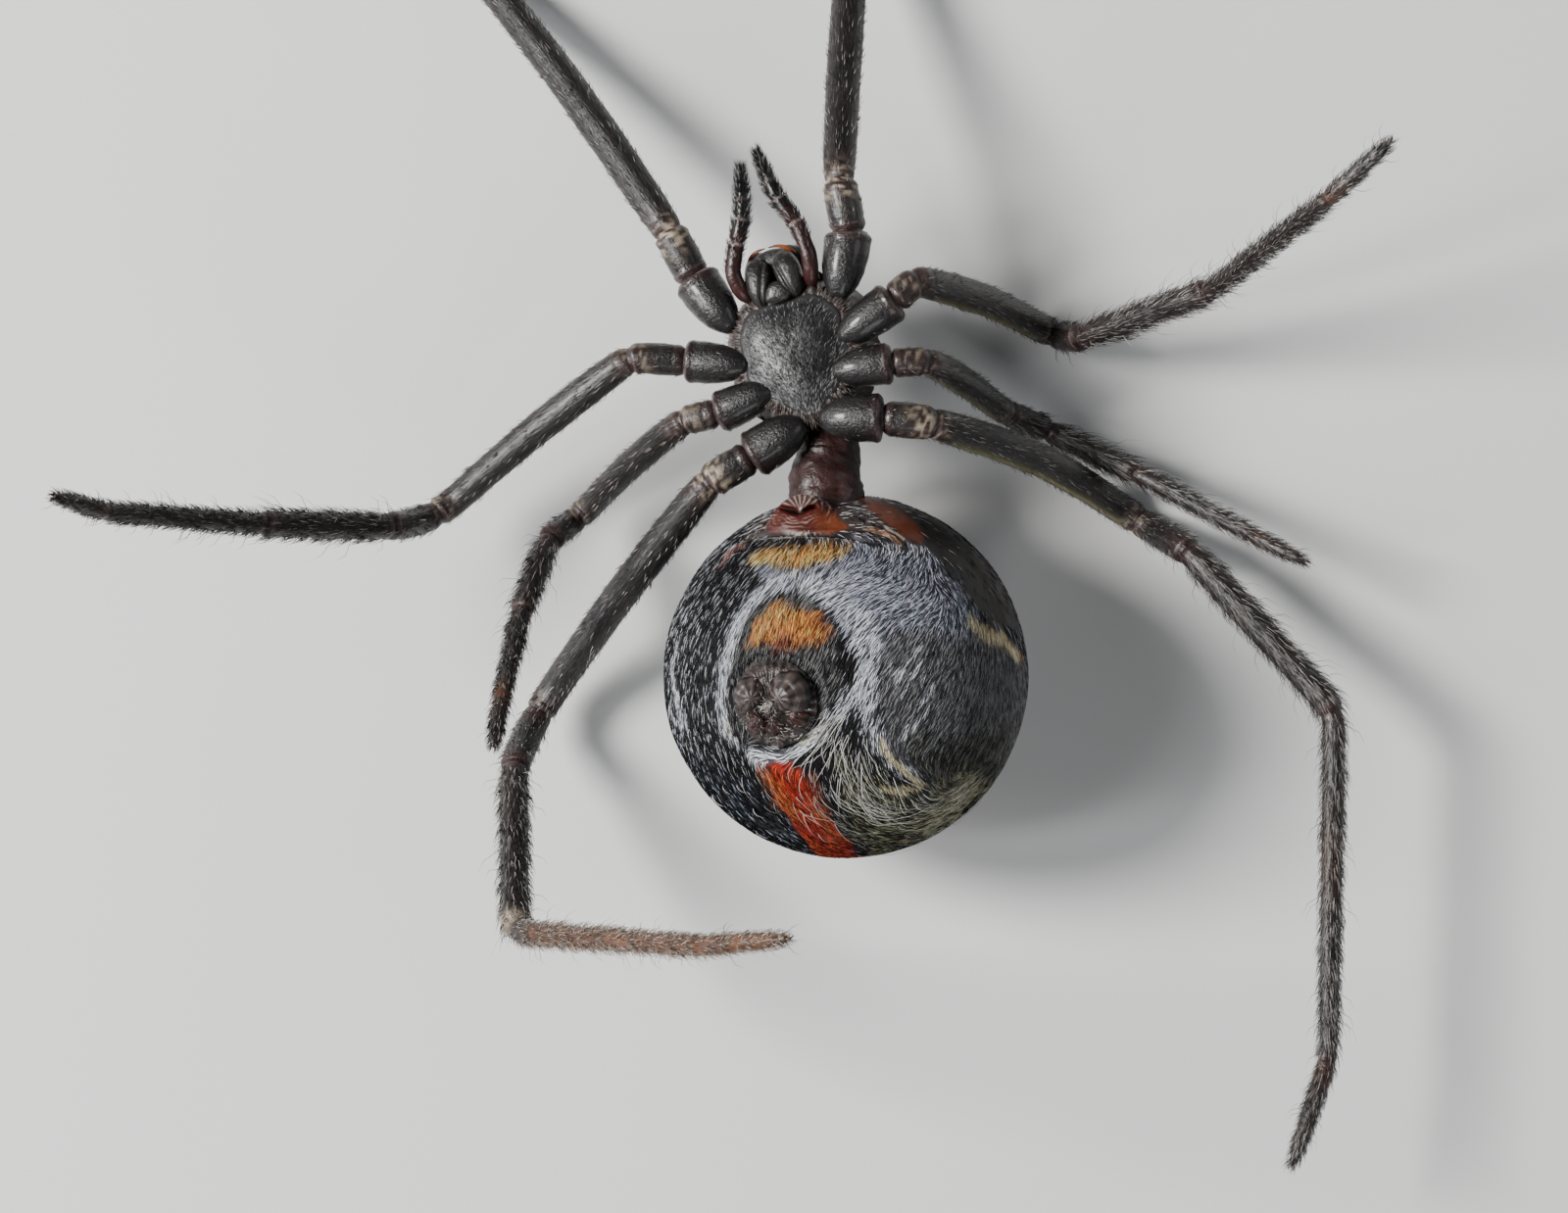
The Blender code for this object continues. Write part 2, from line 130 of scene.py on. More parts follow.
class Finish:
    # a material and the few calls that fill it
    def __init__(self, name):
        self.material = bpy.data.materials.new(name)
        self.material.use_nodes = True
        self.tree = self.material.node_tree
        self.surface = self.tree.nodes["Principled BSDF"]

    def node(self, kind, settings=None, sockets=None, output=0):
        made = self.tree.nodes.new(kind)
        for key, value in (settings or {}).items():
            setattr(made, key, value)
        for key, value in (sockets or {}).items():
            self.fill(made.inputs[key], value)
        return Wire(self, made.outputs[output])

    def fill(self, socket, value):
        if isinstance(value, Wire):
            self.tree.links.new(value.socket, socket)
        elif isinstance(value, tuple) and len(value) == 3 and socket.type == "RGBA":
            socket.default_value = (*value, 1.0)
        else:
            socket.default_value = value

    def set(self, **values):
        names = {"colour": "Base Color", "roughness": "Roughness", "normal": "Normal", "coat": "Coat Weight",
                 "coatRoughness": "Coat Roughness", "specular": "Specular IOR Level"}
        for key, value in values.items():
            self.fill(self.surface.inputs[names[key]], value)

    def grain(self, scale, detail=3.0, roughness=0.55):
        place = self.node("ShaderNodeTexCoord", output="Object")
        return self.node("ShaderNodeTexNoise", {}, {"Vector": place, "Scale": scale / mm, "Detail": detail,
                                                    "Roughness": roughness})

    def streaks(self, scale, detail=3.0):
        # noise drawn out along the piece: its own attribute holds a place squeezed along the length
        place = self.node("ShaderNodeAttribute", {"attribute_name": "combed"}, {}, "Vector")
        return self.node("ShaderNodeTexNoise", {}, {"Vector": place, "Scale": scale, "Detail": detail,
                                                    "Roughness": 0.6})

    def tint(self):
        return self.node("ShaderNodeAttribute", {"attribute_name": "tint"}, {}, "Color")

    def measure(self, name):
        return self.node("ShaderNodeAttribute", {"attribute_name": name}, {}, "Fac")

    def mixed(self, factor, one, two, blend="MIX"):
        made = self.tree.nodes.new("ShaderNodeMix")
        made.data_type = "RGBA"
        made.blend_type = blend
        self.fill(made.inputs[0], factor)
        self.fill(made.inputs[6], one)
        self.fill(made.inputs[7], two)
        return Wire(self, made.outputs[2])

    def bump(self, height, strength, distance):
        return self.node("ShaderNodeBump", {},
                         {"Height": height, "Strength": strength, "Distance": distance * mm})


def hardSkin(name, roughLow, roughHigh, pitting, coat=0.0, fineness=9.0, combed=False, depth=0.02, shine=0.13,
             glossCoat=0.0):
    # cuticle: its own tint, mottled a little, with fine pits or with ridges along it
    finish = Finish(name)
    mottle = finish.grain(1.6, 4.0)
    fine = finish.grain(fineness, 3.0, 0.6)
    relief = fine + mottle * 0.25
    tint = finish.tint()
    shade = (mottle * 2.2 - 0.6).between(0.0, 1.0)
    gloss = finish.measure("gloss")
    if combed:
        # fine ridges and flat pale down along the shaft, fine grains where it is polished
        ridges = finish.streaks(30.0)
        relief = ridges * (1 - gloss * 0.8) * 1.6 + fine * (gloss * 2.4 + 0.5)
        shade = (ridges * 2.4 - 0.7).between(0.0, 1.0)
        downy = ((finish.streaks(44.0, 2.0) - 0.56) * 9).between(0.0, 1.0) * (1 - gloss * 0.75) * 0.42
        tint = finish.mixed(downy, tint, (0.13, 0.12, 0.115))
    darker = finish.mixed(0.55, tint, (0.30, 0.26, 0.26), "MULTIPLY")
    rough = fine * (roughHigh - roughLow) + roughLow - gloss * shine
    finish.set(colour=finish.mixed(shade, darker, tint), roughness=rough,
               normal=finish.bump(relief, pitting, depth), coat=gloss * glossCoat + coat, coatRoughness=0.16,
               specular=0.36)
    return finish.material


def bellySkin():
    # dull downy skin that turns into smooth shining plates where the gloss attribute says so
    finish = Finish("bellySkin")
    fine = finish.grain(11.0, 4.0, 0.65)
    broad = finish.grain(2.2, 3.0)
    gloss = finish.measure("gloss")
    tint = finish.tint()
    darker = finish.mixed(0.6, tint, (0.30, 0.30, 0.32), "MULTIPLY")
    shade = (fine * 1.6 + broad * 0.6 - 0.7).between(0.0, 1.0)
    rough = (fine * 0.22 + 0.38) * (1 - gloss) + gloss * 0.44
    height = fine * (1 - gloss * 0.65) + broad * 0.4
    finish.set(colour=finish.mixed(shade, darker, tint), roughness=rough,
               normal=finish.bump(height, 0.55, 0.03),
               coat=gloss * 0.06, coatRoughness=0.16, specular=0.18)
    return finish.material


def hairFinish(name, roughness):
    finish = Finish(name)
    shade = finish.grain(5.0, 2.0)
    tint = finish.tint()
    worn = finish.mixed(0.4, tint, (0.45, 0.45, 0.45), "MULTIPLY")
    finish.set(colour=finish.mixed((shade * 1.6 - 0.3).between(0.0, 1.0), worn, tint), roughness=roughness,
               specular=0.28)
    return finish.material


finishes = {
    "leg": hardSkin("legCuticle", 0.28, 0.46, 0.60, 0.08, 16.0, combed=True, shine=0.05, glossCoat=0.25),
    "breast": hardSkin("breastCuticle", 0.25, 0.40, 0.40, 0.10, 20.0),
    "carapace": hardSkin("carapaceCuticle", 0.18, 0.32, 0.25, 0.3),
    "mouth": hardSkin("mouthCuticle", 0.20, 0.44, 1.0, 0.20, 13.0, depth=0.03),
    "jaw": hardSkin("jawCuticle", 0.34, 0.46, 0.30, 0.05),
    "palp": hardSkin("palpCuticle", 0.26, 0.46, 0.80, 0.15, 13.0),
    "soft": hardSkin("jointMembrane", 0.34, 0.58, 0.9, 0.05, 5.0, depth=0.05),
    "spinneret": hardSkin("spinneretSkin", 0.34, 0.55, 0.6, 0.1, 8.0, depth=0.03),
    "claw": hardSkin("clawHorn", 0.20, 0.30, 0.10, 0.3),
    "belly": bellySkin(),
    "hair": hairFinish("bristle", 0.42),
    "down": hairFinish("bellyHair", 0.48),
}


def addEyeFinish():
    finish = Finish("eyeLens")
    cloud = finish.grain(3.0, 2.0)
    finish.set(colour=finish.mixed(cloud, (0.010, 0.008, 0.008), (0.045, 0.030, 0.022)),
               roughness=cloud * 0.06 + 0.04,
               coat=1.0, coatRoughness=0.03)
    finishes["eye"] = finish.material


def addFloor():
    bpy.ops.object.select_all(action="DESELECT")
    bpy.ops.mesh.primitive_plane_add(size=studio["floorSize"], location=(0, 0, 0))
    floor = bpy.context.object
    floor.name = "studioFloor"
    finish = Finish("floorPaper")
    cloud = finish.grain(0.02, 2.0)
    finish.set(colour=finish.mixed(cloud * 0.12, studio["floor"], studio["floorShade"]),
               roughness=cloud * 0.1 + 0.75)
    floor.data.materials.append(finish.material)


addEyeFinish()
addFloor()
sayStage("finishes and floor")


# Shared helpers for shapes.
def smoothStep(low, high, value):
    share = np.clip((value - low) / (high - low), 0.0, 1.0)
    return share * share * (3 - 2 * share)


def bellAt(value, middle, width):
    return np.exp(-((value - middle) / width) ** 2)


def blendTo(colours, *layers):
    # lays tones over colours, each with its own mask
    for tone, mask in zip(layers[::2], layers[1::2]):
        colours = colours + (np.array(tone) - colours) * mask[:, None]
    return colours


def noiseAt(points, scale, shift=0.0):
    # smooth noise of about -1 to 1 at each point
    offset = Vector((shift, shift * 0.7, -shift))
    return np.array([noise.noise(Vector(point) * scale + offset) for point in points])


def unitRows(rows):
    return rows / np.maximum(np.linalg.norm(rows, axis=-1, keepdims=True), 1e-9)


def levelled(rows, outs):
    # rows without their part along outs
    return rows - outs * np.sum(rows * outs, axis=1)[:, None]


def polar(points):
    return np.hypot(points[:, 0], points[:, 1]), np.arctan2(points[:, 1], points[:, 0])


def spread(turn, reach):
    return np.stack([np.cos(turn) * reach, np.sin(turn) * reach], axis=1)


def mottled(colours, places, amount, scale, shift=0.0):
    return colours * (1 + amount * noiseAt(places, scale, shift))[:, None]


def shades(draw, low, high, count, tone=(1.0, 1.0, 1.0)):
    return draw.uniform(low, high, count)[:, None] * np.array(tone)


def verticesOf(item):
    flat = np.empty(len(item.data.vertices) * 3)
    item.data.vertices.foreach_get("co", flat)
    return flat.reshape(-1, 3) / mm


def moveVertices(item, points):
    item.data.vertices.foreach_set("co", (points * mm).ravel())
    item.data.update()


def normalsOf(item):
    flat = np.empty(len(item.data.vertices) * 3)
    item.data.vertex_normals.foreach_get("vector", flat)
    return flat.reshape(-1, 3)


def giveTint(item, colours):
    # one colour for the whole piece, or one for each of its corners
    layer = item.data.attributes.new("tint", "FLOAT_COLOR", "POINT")
    four = np.ones((len(item.data.vertices), 4))
    four[:, :3] = np.clip(colours, 0, 1)
    layer.data.foreach_set("color", four.ravel())


def giveMeasure(item, name, values):
    item.data.attributes.new(name, "FLOAT", "POINT").data.foreach_set("value", values.ravel())


def givePlaces(item, name, places):
    item.data.attributes.new(name, "FLOAT_VECTOR", "POINT").data.foreach_set("vector", places.ravel())


def chooseOnly(item):
    bpy.ops.object.select_all(action="DESELECT")
    item.select_set(True)
    bpy.context.view_layer.objects.active = item


def finishPiece(item, name, finish, slot, *nodes):
    item.name = name
    item.data.name = name
    item.data.materials.clear()
    item.data.materials.append(finishes[finish])
    chooseOnly(item)
    bpy.ops.object.shade_smooth()
    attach(item, "root")
    if nodes:
        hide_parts(*nodes)


def addBall(detail=5):
    # a ball of one millimetre, ready to be shaped
    bpy.ops.object.select_all(action="DESELECT")
    bpy.ops.mesh.primitive_ico_sphere_add(subdivisions=detail, radius=mm, location=(0, 0, 0))
    return bpy.context.object


def joinPieces(items):
    bpy.ops.object.select_all(action="DESELECT")
    for item in items:
        item.select_set(True)
    bpy.context.view_layer.objects.active = items[0]
    bpy.ops.object.join()
    return items[0]


def tidyMesh(item):
    chooseOnly(item)
    bpy.ops.object.mode_set(mode="EDIT")
    bpy.ops.mesh.select_all(action="SELECT")
    bpy.ops.mesh.remove_doubles(threshold=1e-7)
    bpy.ops.mesh.normals_make_consistent(inside=False)
    bpy.ops.object.mode_set(mode="OBJECT")


def sweptTube(places, widths, sides):
    # a tube along places, closed at both ends: a bevelled curve turned into a mesh
    data = bpy.data.curves.new("sweep", "CURVE")
    data.dimensions = "3D"
    data.bevel_depth = mm
    data.bevel_resolution = max(1, sides // 2 - 2)
    data.use_fill_caps = True
    line = data.splines.new("POLY")
    line.points.add(len(places) - 1)
    for knot, place, width in zip(line.points, places, widths):
        knot.co = (*(Vector(place) * mm), 1.0)
        knot.radius = width
    carrier = bpy.data.objects.new("sweep", data)
    bpy.context.scene.collection.objects.link(carrier)
    chooseOnly(carrier)
    bpy.ops.object.convert(target="MESH")
    item = bpy.context.object
    tidyMesh(item)
    return item


def discMesh(spokes, cuts):
    # a flat round grid: a fan of triangles cut into finer ones
    bpy.ops.object.select_all(action="DESELECT")
    bpy.ops.mesh.primitive_circle_add(vertices=spokes, radius=mm, fill_type="TRIFAN", location=(0, 0, 0))
    item = bpy.context.object
    bpy.ops.object.mode_set(mode="EDIT")
    bpy.ops.mesh.select_all(action="SELECT")
    bpy.ops.mesh.subdivide(number_cuts=cuts)
    bpy.ops.object.mode_set(mode="OBJECT")
    return item


def roundedPath(corners, rounds, turnStep=7.0):
    # straight lines and round bends; also the index of the middle of each bend
    path = [corners[0]]
    middles = []
    for before, corner, after, reach in zip(corners, corners[1:], corners[2:], rounds):
        back = before - corner
        ahead = after - corner
        reach = min(reach, 0.46 * back.length, 0.46 * ahead.length)
        back.normalize()
        ahead.normalize()
        bend = math.pi - back.angle(ahead)
        if bend < 0.02:
            path.append(corner)
            middles.append(len(path) - 1)
            continue
        half = (math.pi - bend) / 2
        centre = corner + (back + ahead).normalized() * (reach / math.cos(half))
        first = corner + back * reach - centre
        last = corner + ahead * reach - centre
        count = 2 * max(1, round(math.degrees(bend) / turnStep / 2))
        for step in range(count + 1):
            part = step / count
            spoke = (first * math.sin((1 - part) * bend) + last * math.sin(part * bend)) / math.sin(bend)
            path.append(centre + spoke)
        middles.append(len(path) - 1 - count // 2)
    path.append(corners[-1])
    return path, middles


class Line:
    # a path with stations along it, closer together near its joints, and a frame at each station
    def __init__(self, path, step, joints=(), fine=0.03, reach=0.34):
        points = np.array([tuple(place) for place in path])
        spans = np.linalg.norm(np.diff(points, axis=0), axis=1)
        self.known = np.concatenate([[0.0], np.cumsum(spans)])
        self.total = float(self.known[-1])
        self.joints = [float(self.known[index]) for index in joints]
        marks = [0.0]
        while marks[-1] < self.total:
            near = any(abs(marks[-1] - joint) < reach for joint in self.joints)
            marks.append(marks[-1] + (fine if near else step))
        marks[-1] = self.total
        self.at = np.array(marks)
        self.points = np.stack([np.interp(self.at, self.known, points[:, axis]) for axis in range(3)], axis=1)
        ahead = np.gradient(self.points, self.at, axis=0)
        self.ahead = unitRows(ahead)
        side = np.cross(self.ahead[0], (0.0, 0.0, 1.0))
        if np.linalg.norm(side) < 1e-3:
            side = np.cross(self.ahead[0], (0.0, 1.0, 0.0))
        sides = [side / np.linalg.norm(side)]
        for tangent in self.ahead[1:]:
            moved = sides[-1] - tangent * np.dot(sides[-1], tangent)
            sides.append(moved / np.linalg.norm(moved))
        self.side = np.array(sides)
        self.up = np.cross(self.side, self.ahead)

    def nearest(self, points):
        tree = KDTree(len(self.points))
        for index, place in enumerate(self.points):
            tree.insert(place, index)
        tree.balance()
        return np.array([tree.find(place)[1] for place in points])

    def comb(self, item):
        # squeezed places for ridges that run along the piece; gives back the nearest station
        points = verticesOf(item)
        index = self.nearest(points)
        off = points - self.points[index]
        across = np.sum(off * self.side[index], axis=1)
        over = np.sum(off * self.up[index], axis=1)
        givePlaces(item, "combed", np.stack([across, over, self.at[index] * 0.10], axis=1))
        return index


# Hairs: thin three-sided spikes along short paths; every hair has its own spot on the unwrap.
hairShape = {"taper": 0.62, "flatter": 0.4, "rootDepth": 0.012, "patch": 0.0015}


def growHairs(name, finish, slot, paths, outs, widths, tints, spots):
    count, knots = paths.shape[:2]
    widths = np.broadcast_to(widths, count)
    ahead = unitRows(np.gradient(paths, axis=1))
    side = unitRows(np.cross(ahead, outs[:, None, :]))
    over = np.cross(side, ahead)
    rings = []
    for knot in range(knots - 1):
        size = (widths * (1 - hairShape["taper"] * knot / (knots - 1)))[:, None]
        for turn in (0.0, 2.0944, 4.1888):
            way = side[:, knot] * math.cos(turn) + over[:, knot] * math.sin(turn)
            rings.append(paths[:, knot] + way * size)
    points = np.stack(rings + [paths[:, -1]], axis=1)
    each = points.shape[1]
    base = (np.arange(count) * each)[:, None]
    faces = []
    for knot in range(knots - 2):
        for one, two in ((0, 1), (1, 2), (2, 0)):
            low, high = knot * 3, knot * 3 + 3
            faces.append(base + np.array([[low + one, high + two, high + one]]))
            faces.append(base + np.array([[low + one, low + two, high + two]]))
    for one, two in ((0, 1), (1, 2), (2, 0)):
        faces.append(base + np.array([[each - 4 + one, each - 4 + two, each - 1]]))
    faces = np.stack(faces, axis=1).reshape(-1, 3)
    data = bpy.data.meshes.new(name)
    data.vertices.add(count * each)
    data.vertices.foreach_set("co", (points * mm).ravel())
    data.loops.add(len(faces) * 3)
    data.loops.foreach_set("vertex_index", faces.ravel())
    data.polygons.add(len(faces))
    data.polygons.foreach_set("loop_start", np.arange(len(faces)) * 3)
    data.update(calc_edges=True)
    item = bpy.data.objects.new(name, data)
    bpy.context.scene.collection.objects.link(item)
    giveTint(item, np.repeat(tints, each, axis=0))
    turns = np.arange(each) * 2 * math.pi / (each - 1)
    patch = hairShape["patch"] * spread(turns, 1.0)
    patch[-1] = 0
    whole = (spots[:, None, :] + patch[None, :, :]).reshape(-1, 2)
    data.uv_layers.new(name="OFBake").data.foreach_set("uv", whole[faces.ravel()].ravel())
    finishPiece(item, name, finish, slot)


def leaningPaths(roots, outs, lies, lengths, rises):
    # three knots a hair: steep at the root, flatter towards the tip
    lies = unitRows(levelled(lies, outs))
    rises = np.radians(rises)[:, None]
    lengths = lengths[:, None]
    late = rises * hairShape["flatter"]
    middle = roots + (lies * np.cos(rises) + outs * np.sin(rises)) * lengths * 0.5
    tips = middle + (lies * np.cos(late) + outs * np.sin(late)) * lengths * 0.5
    return np.stack([roots - outs * hairShape["rootDepth"], middle, tips], axis=1)


# Legs.
legs = {
    "coxaBase": {1: (1.24, 1.10, -0.32), 2: (1.21, 0.13, -0.30), 3: (0.86, -0.58, -0.30),
                 4: (0.40, -1.47, -0.30)},
    "coxaTip": {1: (1.69, 2.15, -0.42), 2: (2.26, 0.54, -0.40), 3: (1.89, -0.70, -0.40),
                4: (1.43, -1.75, -0.40)},
    "trochanter": {"R1": 1.08, "L1": 1.08, "R2": 1.15, "L2": 0.575, "R3": 0.70, "L3": 0.70, "R4": 1.0,
                   "L4": 1.0},
    "lengths": {1: (8.6, 2.5, 6.2, 8.2, 2.6), 2: (5.5, 1.8, 3.4, 4.7, 1.8),
                3: (3.8, 1.25, 2.15, 2.9, 1.3), 4: (6.85, 2.1, 4.6, 7.2, 2.3)},
    "pose": {
        "R1": ((118, 0), (126, -23), (118, 46), (110, 38), (102, 30), (96, 12)),
        "L1": ((102, 0), (85, -28.5), (88, 48), (82, 36), (76, 30), (70, 10)),
        "R2": ((176, 0), (-141, -18), (-168, 61), (179, 43), (176, 51), (162, 59)),
        "L2": ((44, 0), (-19, -54.7), (-10, 76), (19, 36), (38, 54), (43, 21)),
        "R3": ((-170, -8), (-138, -38), (-145, 55), (-109, 42), (-101, 52), (-98, 42)),
        "L3": ((3, 0), (-31, -60), (-21, -38), (-26, 18), (-29, 21), (-28, 25)),
        "R4": ((-149, 0), (-127, -29), (-112, 57), (-88, 44), (-1, 58), (7, 42)),
        "L4": ((-6, 0), (-24, -45.5), (-33, 58), (-48, 15), (-91, 0), (-110, 12)),
    },
    "bow": {"R1": 0.15, "L1": 0.15, "R2": 0.1, "L2": 0.2, "R3": 0.1, "L3": 0.1, "R4": 0.1, "L4": 0.35},
    "kneeRound": {1: 0.95, 2: 0.80, 3: 0.55, 4: 0.95},
    "jointRound": 0.45,
    "hipRounds": (0.3, 0.35, 2.5),
    "rootReach": 0.24,
    # radii of coxa, trochanter, femur, patella, tibia, metatarsus, tarsus
    "radii": {1: (0.45, 0.36, 0.345, 0.33, 0.27, 0.22, 0.17), 2: (0.41, 0.32, 0.32, 0.29, 0.27, 0.21, 0.17),
              3: (0.40, 0.30, 0.29, 0.27, 0.24, 0.19, 0.16), 4: (0.47, 0.36, 0.34, 0.31, 0.29, 0.225, 0.19)},
    "sides": 20,
    "step": 0.085,
    # at each joint: depth of its waist and width of its red-brown ring
    "waists": ((0.10, 0.20), (0.07, 0.40), (0.07, 0.40), (0.07, 0.28), (0.06, 0.28), (0.04, 0.22)),
    "bases": ("black", "black", "femur", "femur", "shin", "shin", "shin"),
    "kinds": ("coxa", "femur", "patella", "tibia", "metatarsus", "tarsus"),
    "creamy": ("R1", "L1", "L4", "R4"),
    "lined": ("L2", "L3", "L4"),
    "lineSide": (-0.30, -0.72, 0.62),
}
legTones = {
    "black": (0.011, 0.010, 0.010),
    "femur": (0.011, 0.0088, 0.0085),
    "shin": (0.016, 0.0115, 0.0105),
    "redBrown": (0.034, 0.0145, 0.013),
    "darkRed": (0.016, 0.0045, 0.004),
    "pink": (0.21, 0.135, 0.125),
    "cream": (0.46, 0.39, 0.28),
    "orange": (0.12, 0.040, 0.012),
    "olive": (0.23, 0.22, 0.085),
    "tail": (0.050, 0.018, 0.008),
    # crest: tone of the painted highlight, a pale streak along the top of the R4 tail
    "crest": (0.40, 0.34, 0.30),
    "claw": (0.05, 0.025, 0.018),
}
# radius along each of the seven parts, as shares of the part's own radius
partShapes = (
    ((0, 0.10, 0.24, 0.42, 0.68, 0.90, 1), (0.34, 0.58, 0.82, 0.97, 1.06, 1.06, 0.96)),
    ((0, 0.15, 0.5, 0.85, 1), (0.86, 1.0, 1.04, 0.98, 0.90)),
    ((0, 0.03, 0.09, 0.35, 0.75, 0.94, 1), (0.84, 0.94, 1.0, 1.05, 0.97, 0.94, 0.90)),
    ((0, 0.12, 0.5, 0.85, 1), (0.88, 0.98, 1.03, 1.02, 0.92)),
    ((0, 0.06, 0.3, 0.75, 0.93, 1), (0.86, 0.96, 1.03, 0.98, 1.0, 0.90)),
    ((0, 0.05, 0.2, 0.7, 1), (0.94, 1.04, 1.02, 0.92, 0.84)),
    ((0, 0.10, 0.5, 0.82, 0.95, 1), (0.96, 1.05, 0.98, 0.78, 0.48, 0.22)),
)


def frontFrame():
    turn = (Matrix.Rotation(math.radians(frontBody["yaw"]), 4, "Z")
            @ Matrix.Rotation(math.radians(frontBody["pitch"]), 4, "X")
            @ Matrix.Rotation(math.radians(frontBody["roll"]), 4, "Y"))
    return Matrix.Translation(Vector(frontBody["centre"])) @ turn


frontBody = {"centre": (-1.103, 6.591, 4.45), "yaw": 14, "pitch": -10, "roll": -12}
front = frontFrame()
frontTurn = front.to_3x3()


def toWorld(points):
    matrix = np.array(front)
    return points @ matrix[:3, :3].T + matrix[:3, 3]


def direction(heading, rise):
    flat = math.cos(math.radians(rise))
    return Vector((flat * math.cos(math.radians(heading)), flat * math.sin(math.radians(heading)),
                   math.sin(math.radians(rise))))


def legLine(leg):
    side = 1 if leg[0] == "L" else -1
    number = int(leg[1])
    base = Vector(legs["coxaBase"][number])
    tip = Vector(legs["coxaTip"][number])
    corners = [front @ Vector((side * base.x, base.y, base.z)), front @ Vector((side * tip.x, tip.y, tip.z))]
    lengths = (legs["trochanter"][leg], *legs["lengths"][number])
    for (heading, rise), length in zip(legs["pose"][leg], lengths):
        corners.append(corners[-1] + direction(heading, rise) * length)
    chord = corners[3] - corners[2]
    outward = Vector((-chord.y, chord.x, 0)).normalized()
    corners.insert(3, (corners[2] + corners[3]) / 2 + outward * legs["bow"][leg] * side)
    # the root reaches under the breast plate
    corners[0] = corners[0] + (corners[0] - corners[1]).normalized() * legs["rootReach"]
    rounds = (*legs["hipRounds"], legs["kneeRound"][number]) + (legs["jointRound"],) * 3
    path, middles = roundedPath(corners, rounds)
    line = Line(path, legs["step"], [middles[index] for index in (0, 1, 3, 4, 5, 6)])
    line.bounds = [0.0] + line.joints + [line.total]
    return line


def legProfile(leg, line):
    # radius, tint and part number at each station
    radii = legs["radii"][int(leg[1])]
    at, bounds = line.at, line.bounds
    part = np.clip(np.searchsorted(bounds, at, side="right") - 1, 0, 6)
    width = np.zeros(len(at))
    tint = np.zeros((len(at), 3))
    for index, (marks, shares) in enumerate(partShapes):
        inside = part == index
        share = (at[inside] - bounds[index]) / (bounds[index + 1] - bounds[index])
        width[inside] = radii[index] * np.interp(share, marks, shares)
        tint[inside] = legTones[legs["bases"][index]]
    for bound, (deep, reddish) in zip(bounds[1:-1], legs["waists"]):
        away = at - bound
        # a waist between two lips, with fine wrinkles of the soft skin
        lips = 0.045 * bellAt(away, -0.11, 0.06), 0.03 * bellAt(away, 0.13, 0.07)
        width *= 1 - deep * bellAt(away, 0, 0.045) + lips[0] + lips[1]
        width *= 1 - 0.022 * bellAt(away, 0.26, 0.03) + 0.012 * np.cos(away * 95) * bellAt(away, 0.05, 0.22)
        tint = blendTo(tint, legTones["redBrown"], 0.70 * bellAt(away, 0, reddish),
                       legTones["darkRed"], 0.85 * bellAt(away, 0.0, 0.04))
    return width, tint, part


def paintLeg(leg, line, item, index, tint):
    # tint of each corner of the skin, with uneven rims and the marks of single legs
    points = verticesOf(item)
    colours = mottled(tint[index], points, 0.4, 1.7, 3.1)
    at, bounds = line.at[index], line.bounds
    patchy = np.clip(0.55 + 0.9 * noiseAt(points, 2.3, 7.7), 0, 1)
    for joint, bound in enumerate(bounds[1:-1]):
        away = at - bound
        broken = smoothStep(-0.25, 0.35, noiseAt(points, 4.5, 2.2 + joint))
        colours = blendTo(colours, legTones["pink"], patchy * broken * (0.75 * bellAt(away, -0.07, 0.018)
                          + 0.5 * bellAt(away, 0.08, 0.016) + 0.4 * bellAt(away, 0.17, 0.014)))
        if joint in (1, 2):
            # crumpled pale skin before and after the joint
            crumpled = smoothStep(0.05, 0.35, noiseAt(points, 8.5, 4.4)) * bellAt(away, -0.10, 0.32)
            strong = 0.85 if leg in legs["creamy"] and joint == 1 else 0.35
            colours = blendTo(colours, legTones["cream"], crumpled * strong)
    off = unitRows(points - line.points[index])
    if leg in legs["lined"]:
        # a thin olive line along the lower side of the femur, on the side that faces one fixed direction, the
        # same on every leg
        aim = np.array(legs["lineSide"])
        lower = unitRows(aim - line.ahead * (line.ahead @ aim)[:, None])
        oliveBand = bellAt(np.sum(off * lower[index], axis=1), 1.0, 0.030)
        along = (smoothStep(bounds[2] + 0.3, bounds[2] + 0.8, at)
                 * (1 - smoothStep(bounds[3] - 0.7, bounds[3] - 0.1, at)))
        colours = blendTo(colours, legTones["olive"], 0.85 * oliveBand * along)
    colours = blendTo(colours, legTones["orange"], 0.40 * bellAt(at, bounds[6] + 0.30, 0.30) * patchy)
    if leg == "R3":
        colours = blendTo(colours, legTones["orange"], 0.55 * bellAt(at, bounds[6] - 0.15, 0.25))
    if leg == "L4":
        colours = blendTo(colours, legTones["orange"], 0.28 * bellAt(at, bounds[5] + 3.0, 0.8))
    if leg == "R4":
        tail = smoothStep(bounds[5] + 0.3, bounds[5] + 1.4, at)
        spots = np.clip(0.35 + 1.2 * noiseAt(points, 3.4, 6.0), 0.0, 0.9)
        # painted highlight: a pale streak along the top of the tail, on the side that faces up
        crest = bellAt(off[:, 2], 1.0, 0.05) * smoothStep(-0.3, 0.2, noiseAt(points, 9.0, 1.0))
        cup = bellAt(at, bounds[5] - 0.16, 0.17)
        colours = blendTo(colours, legTones["tail"], 0.9 * tail, legTones["orange"], tail * spots,
                          legTones["crest"], 0.65 * tail * crest, legTones["cream"], 0.85 * cup)
    return colours


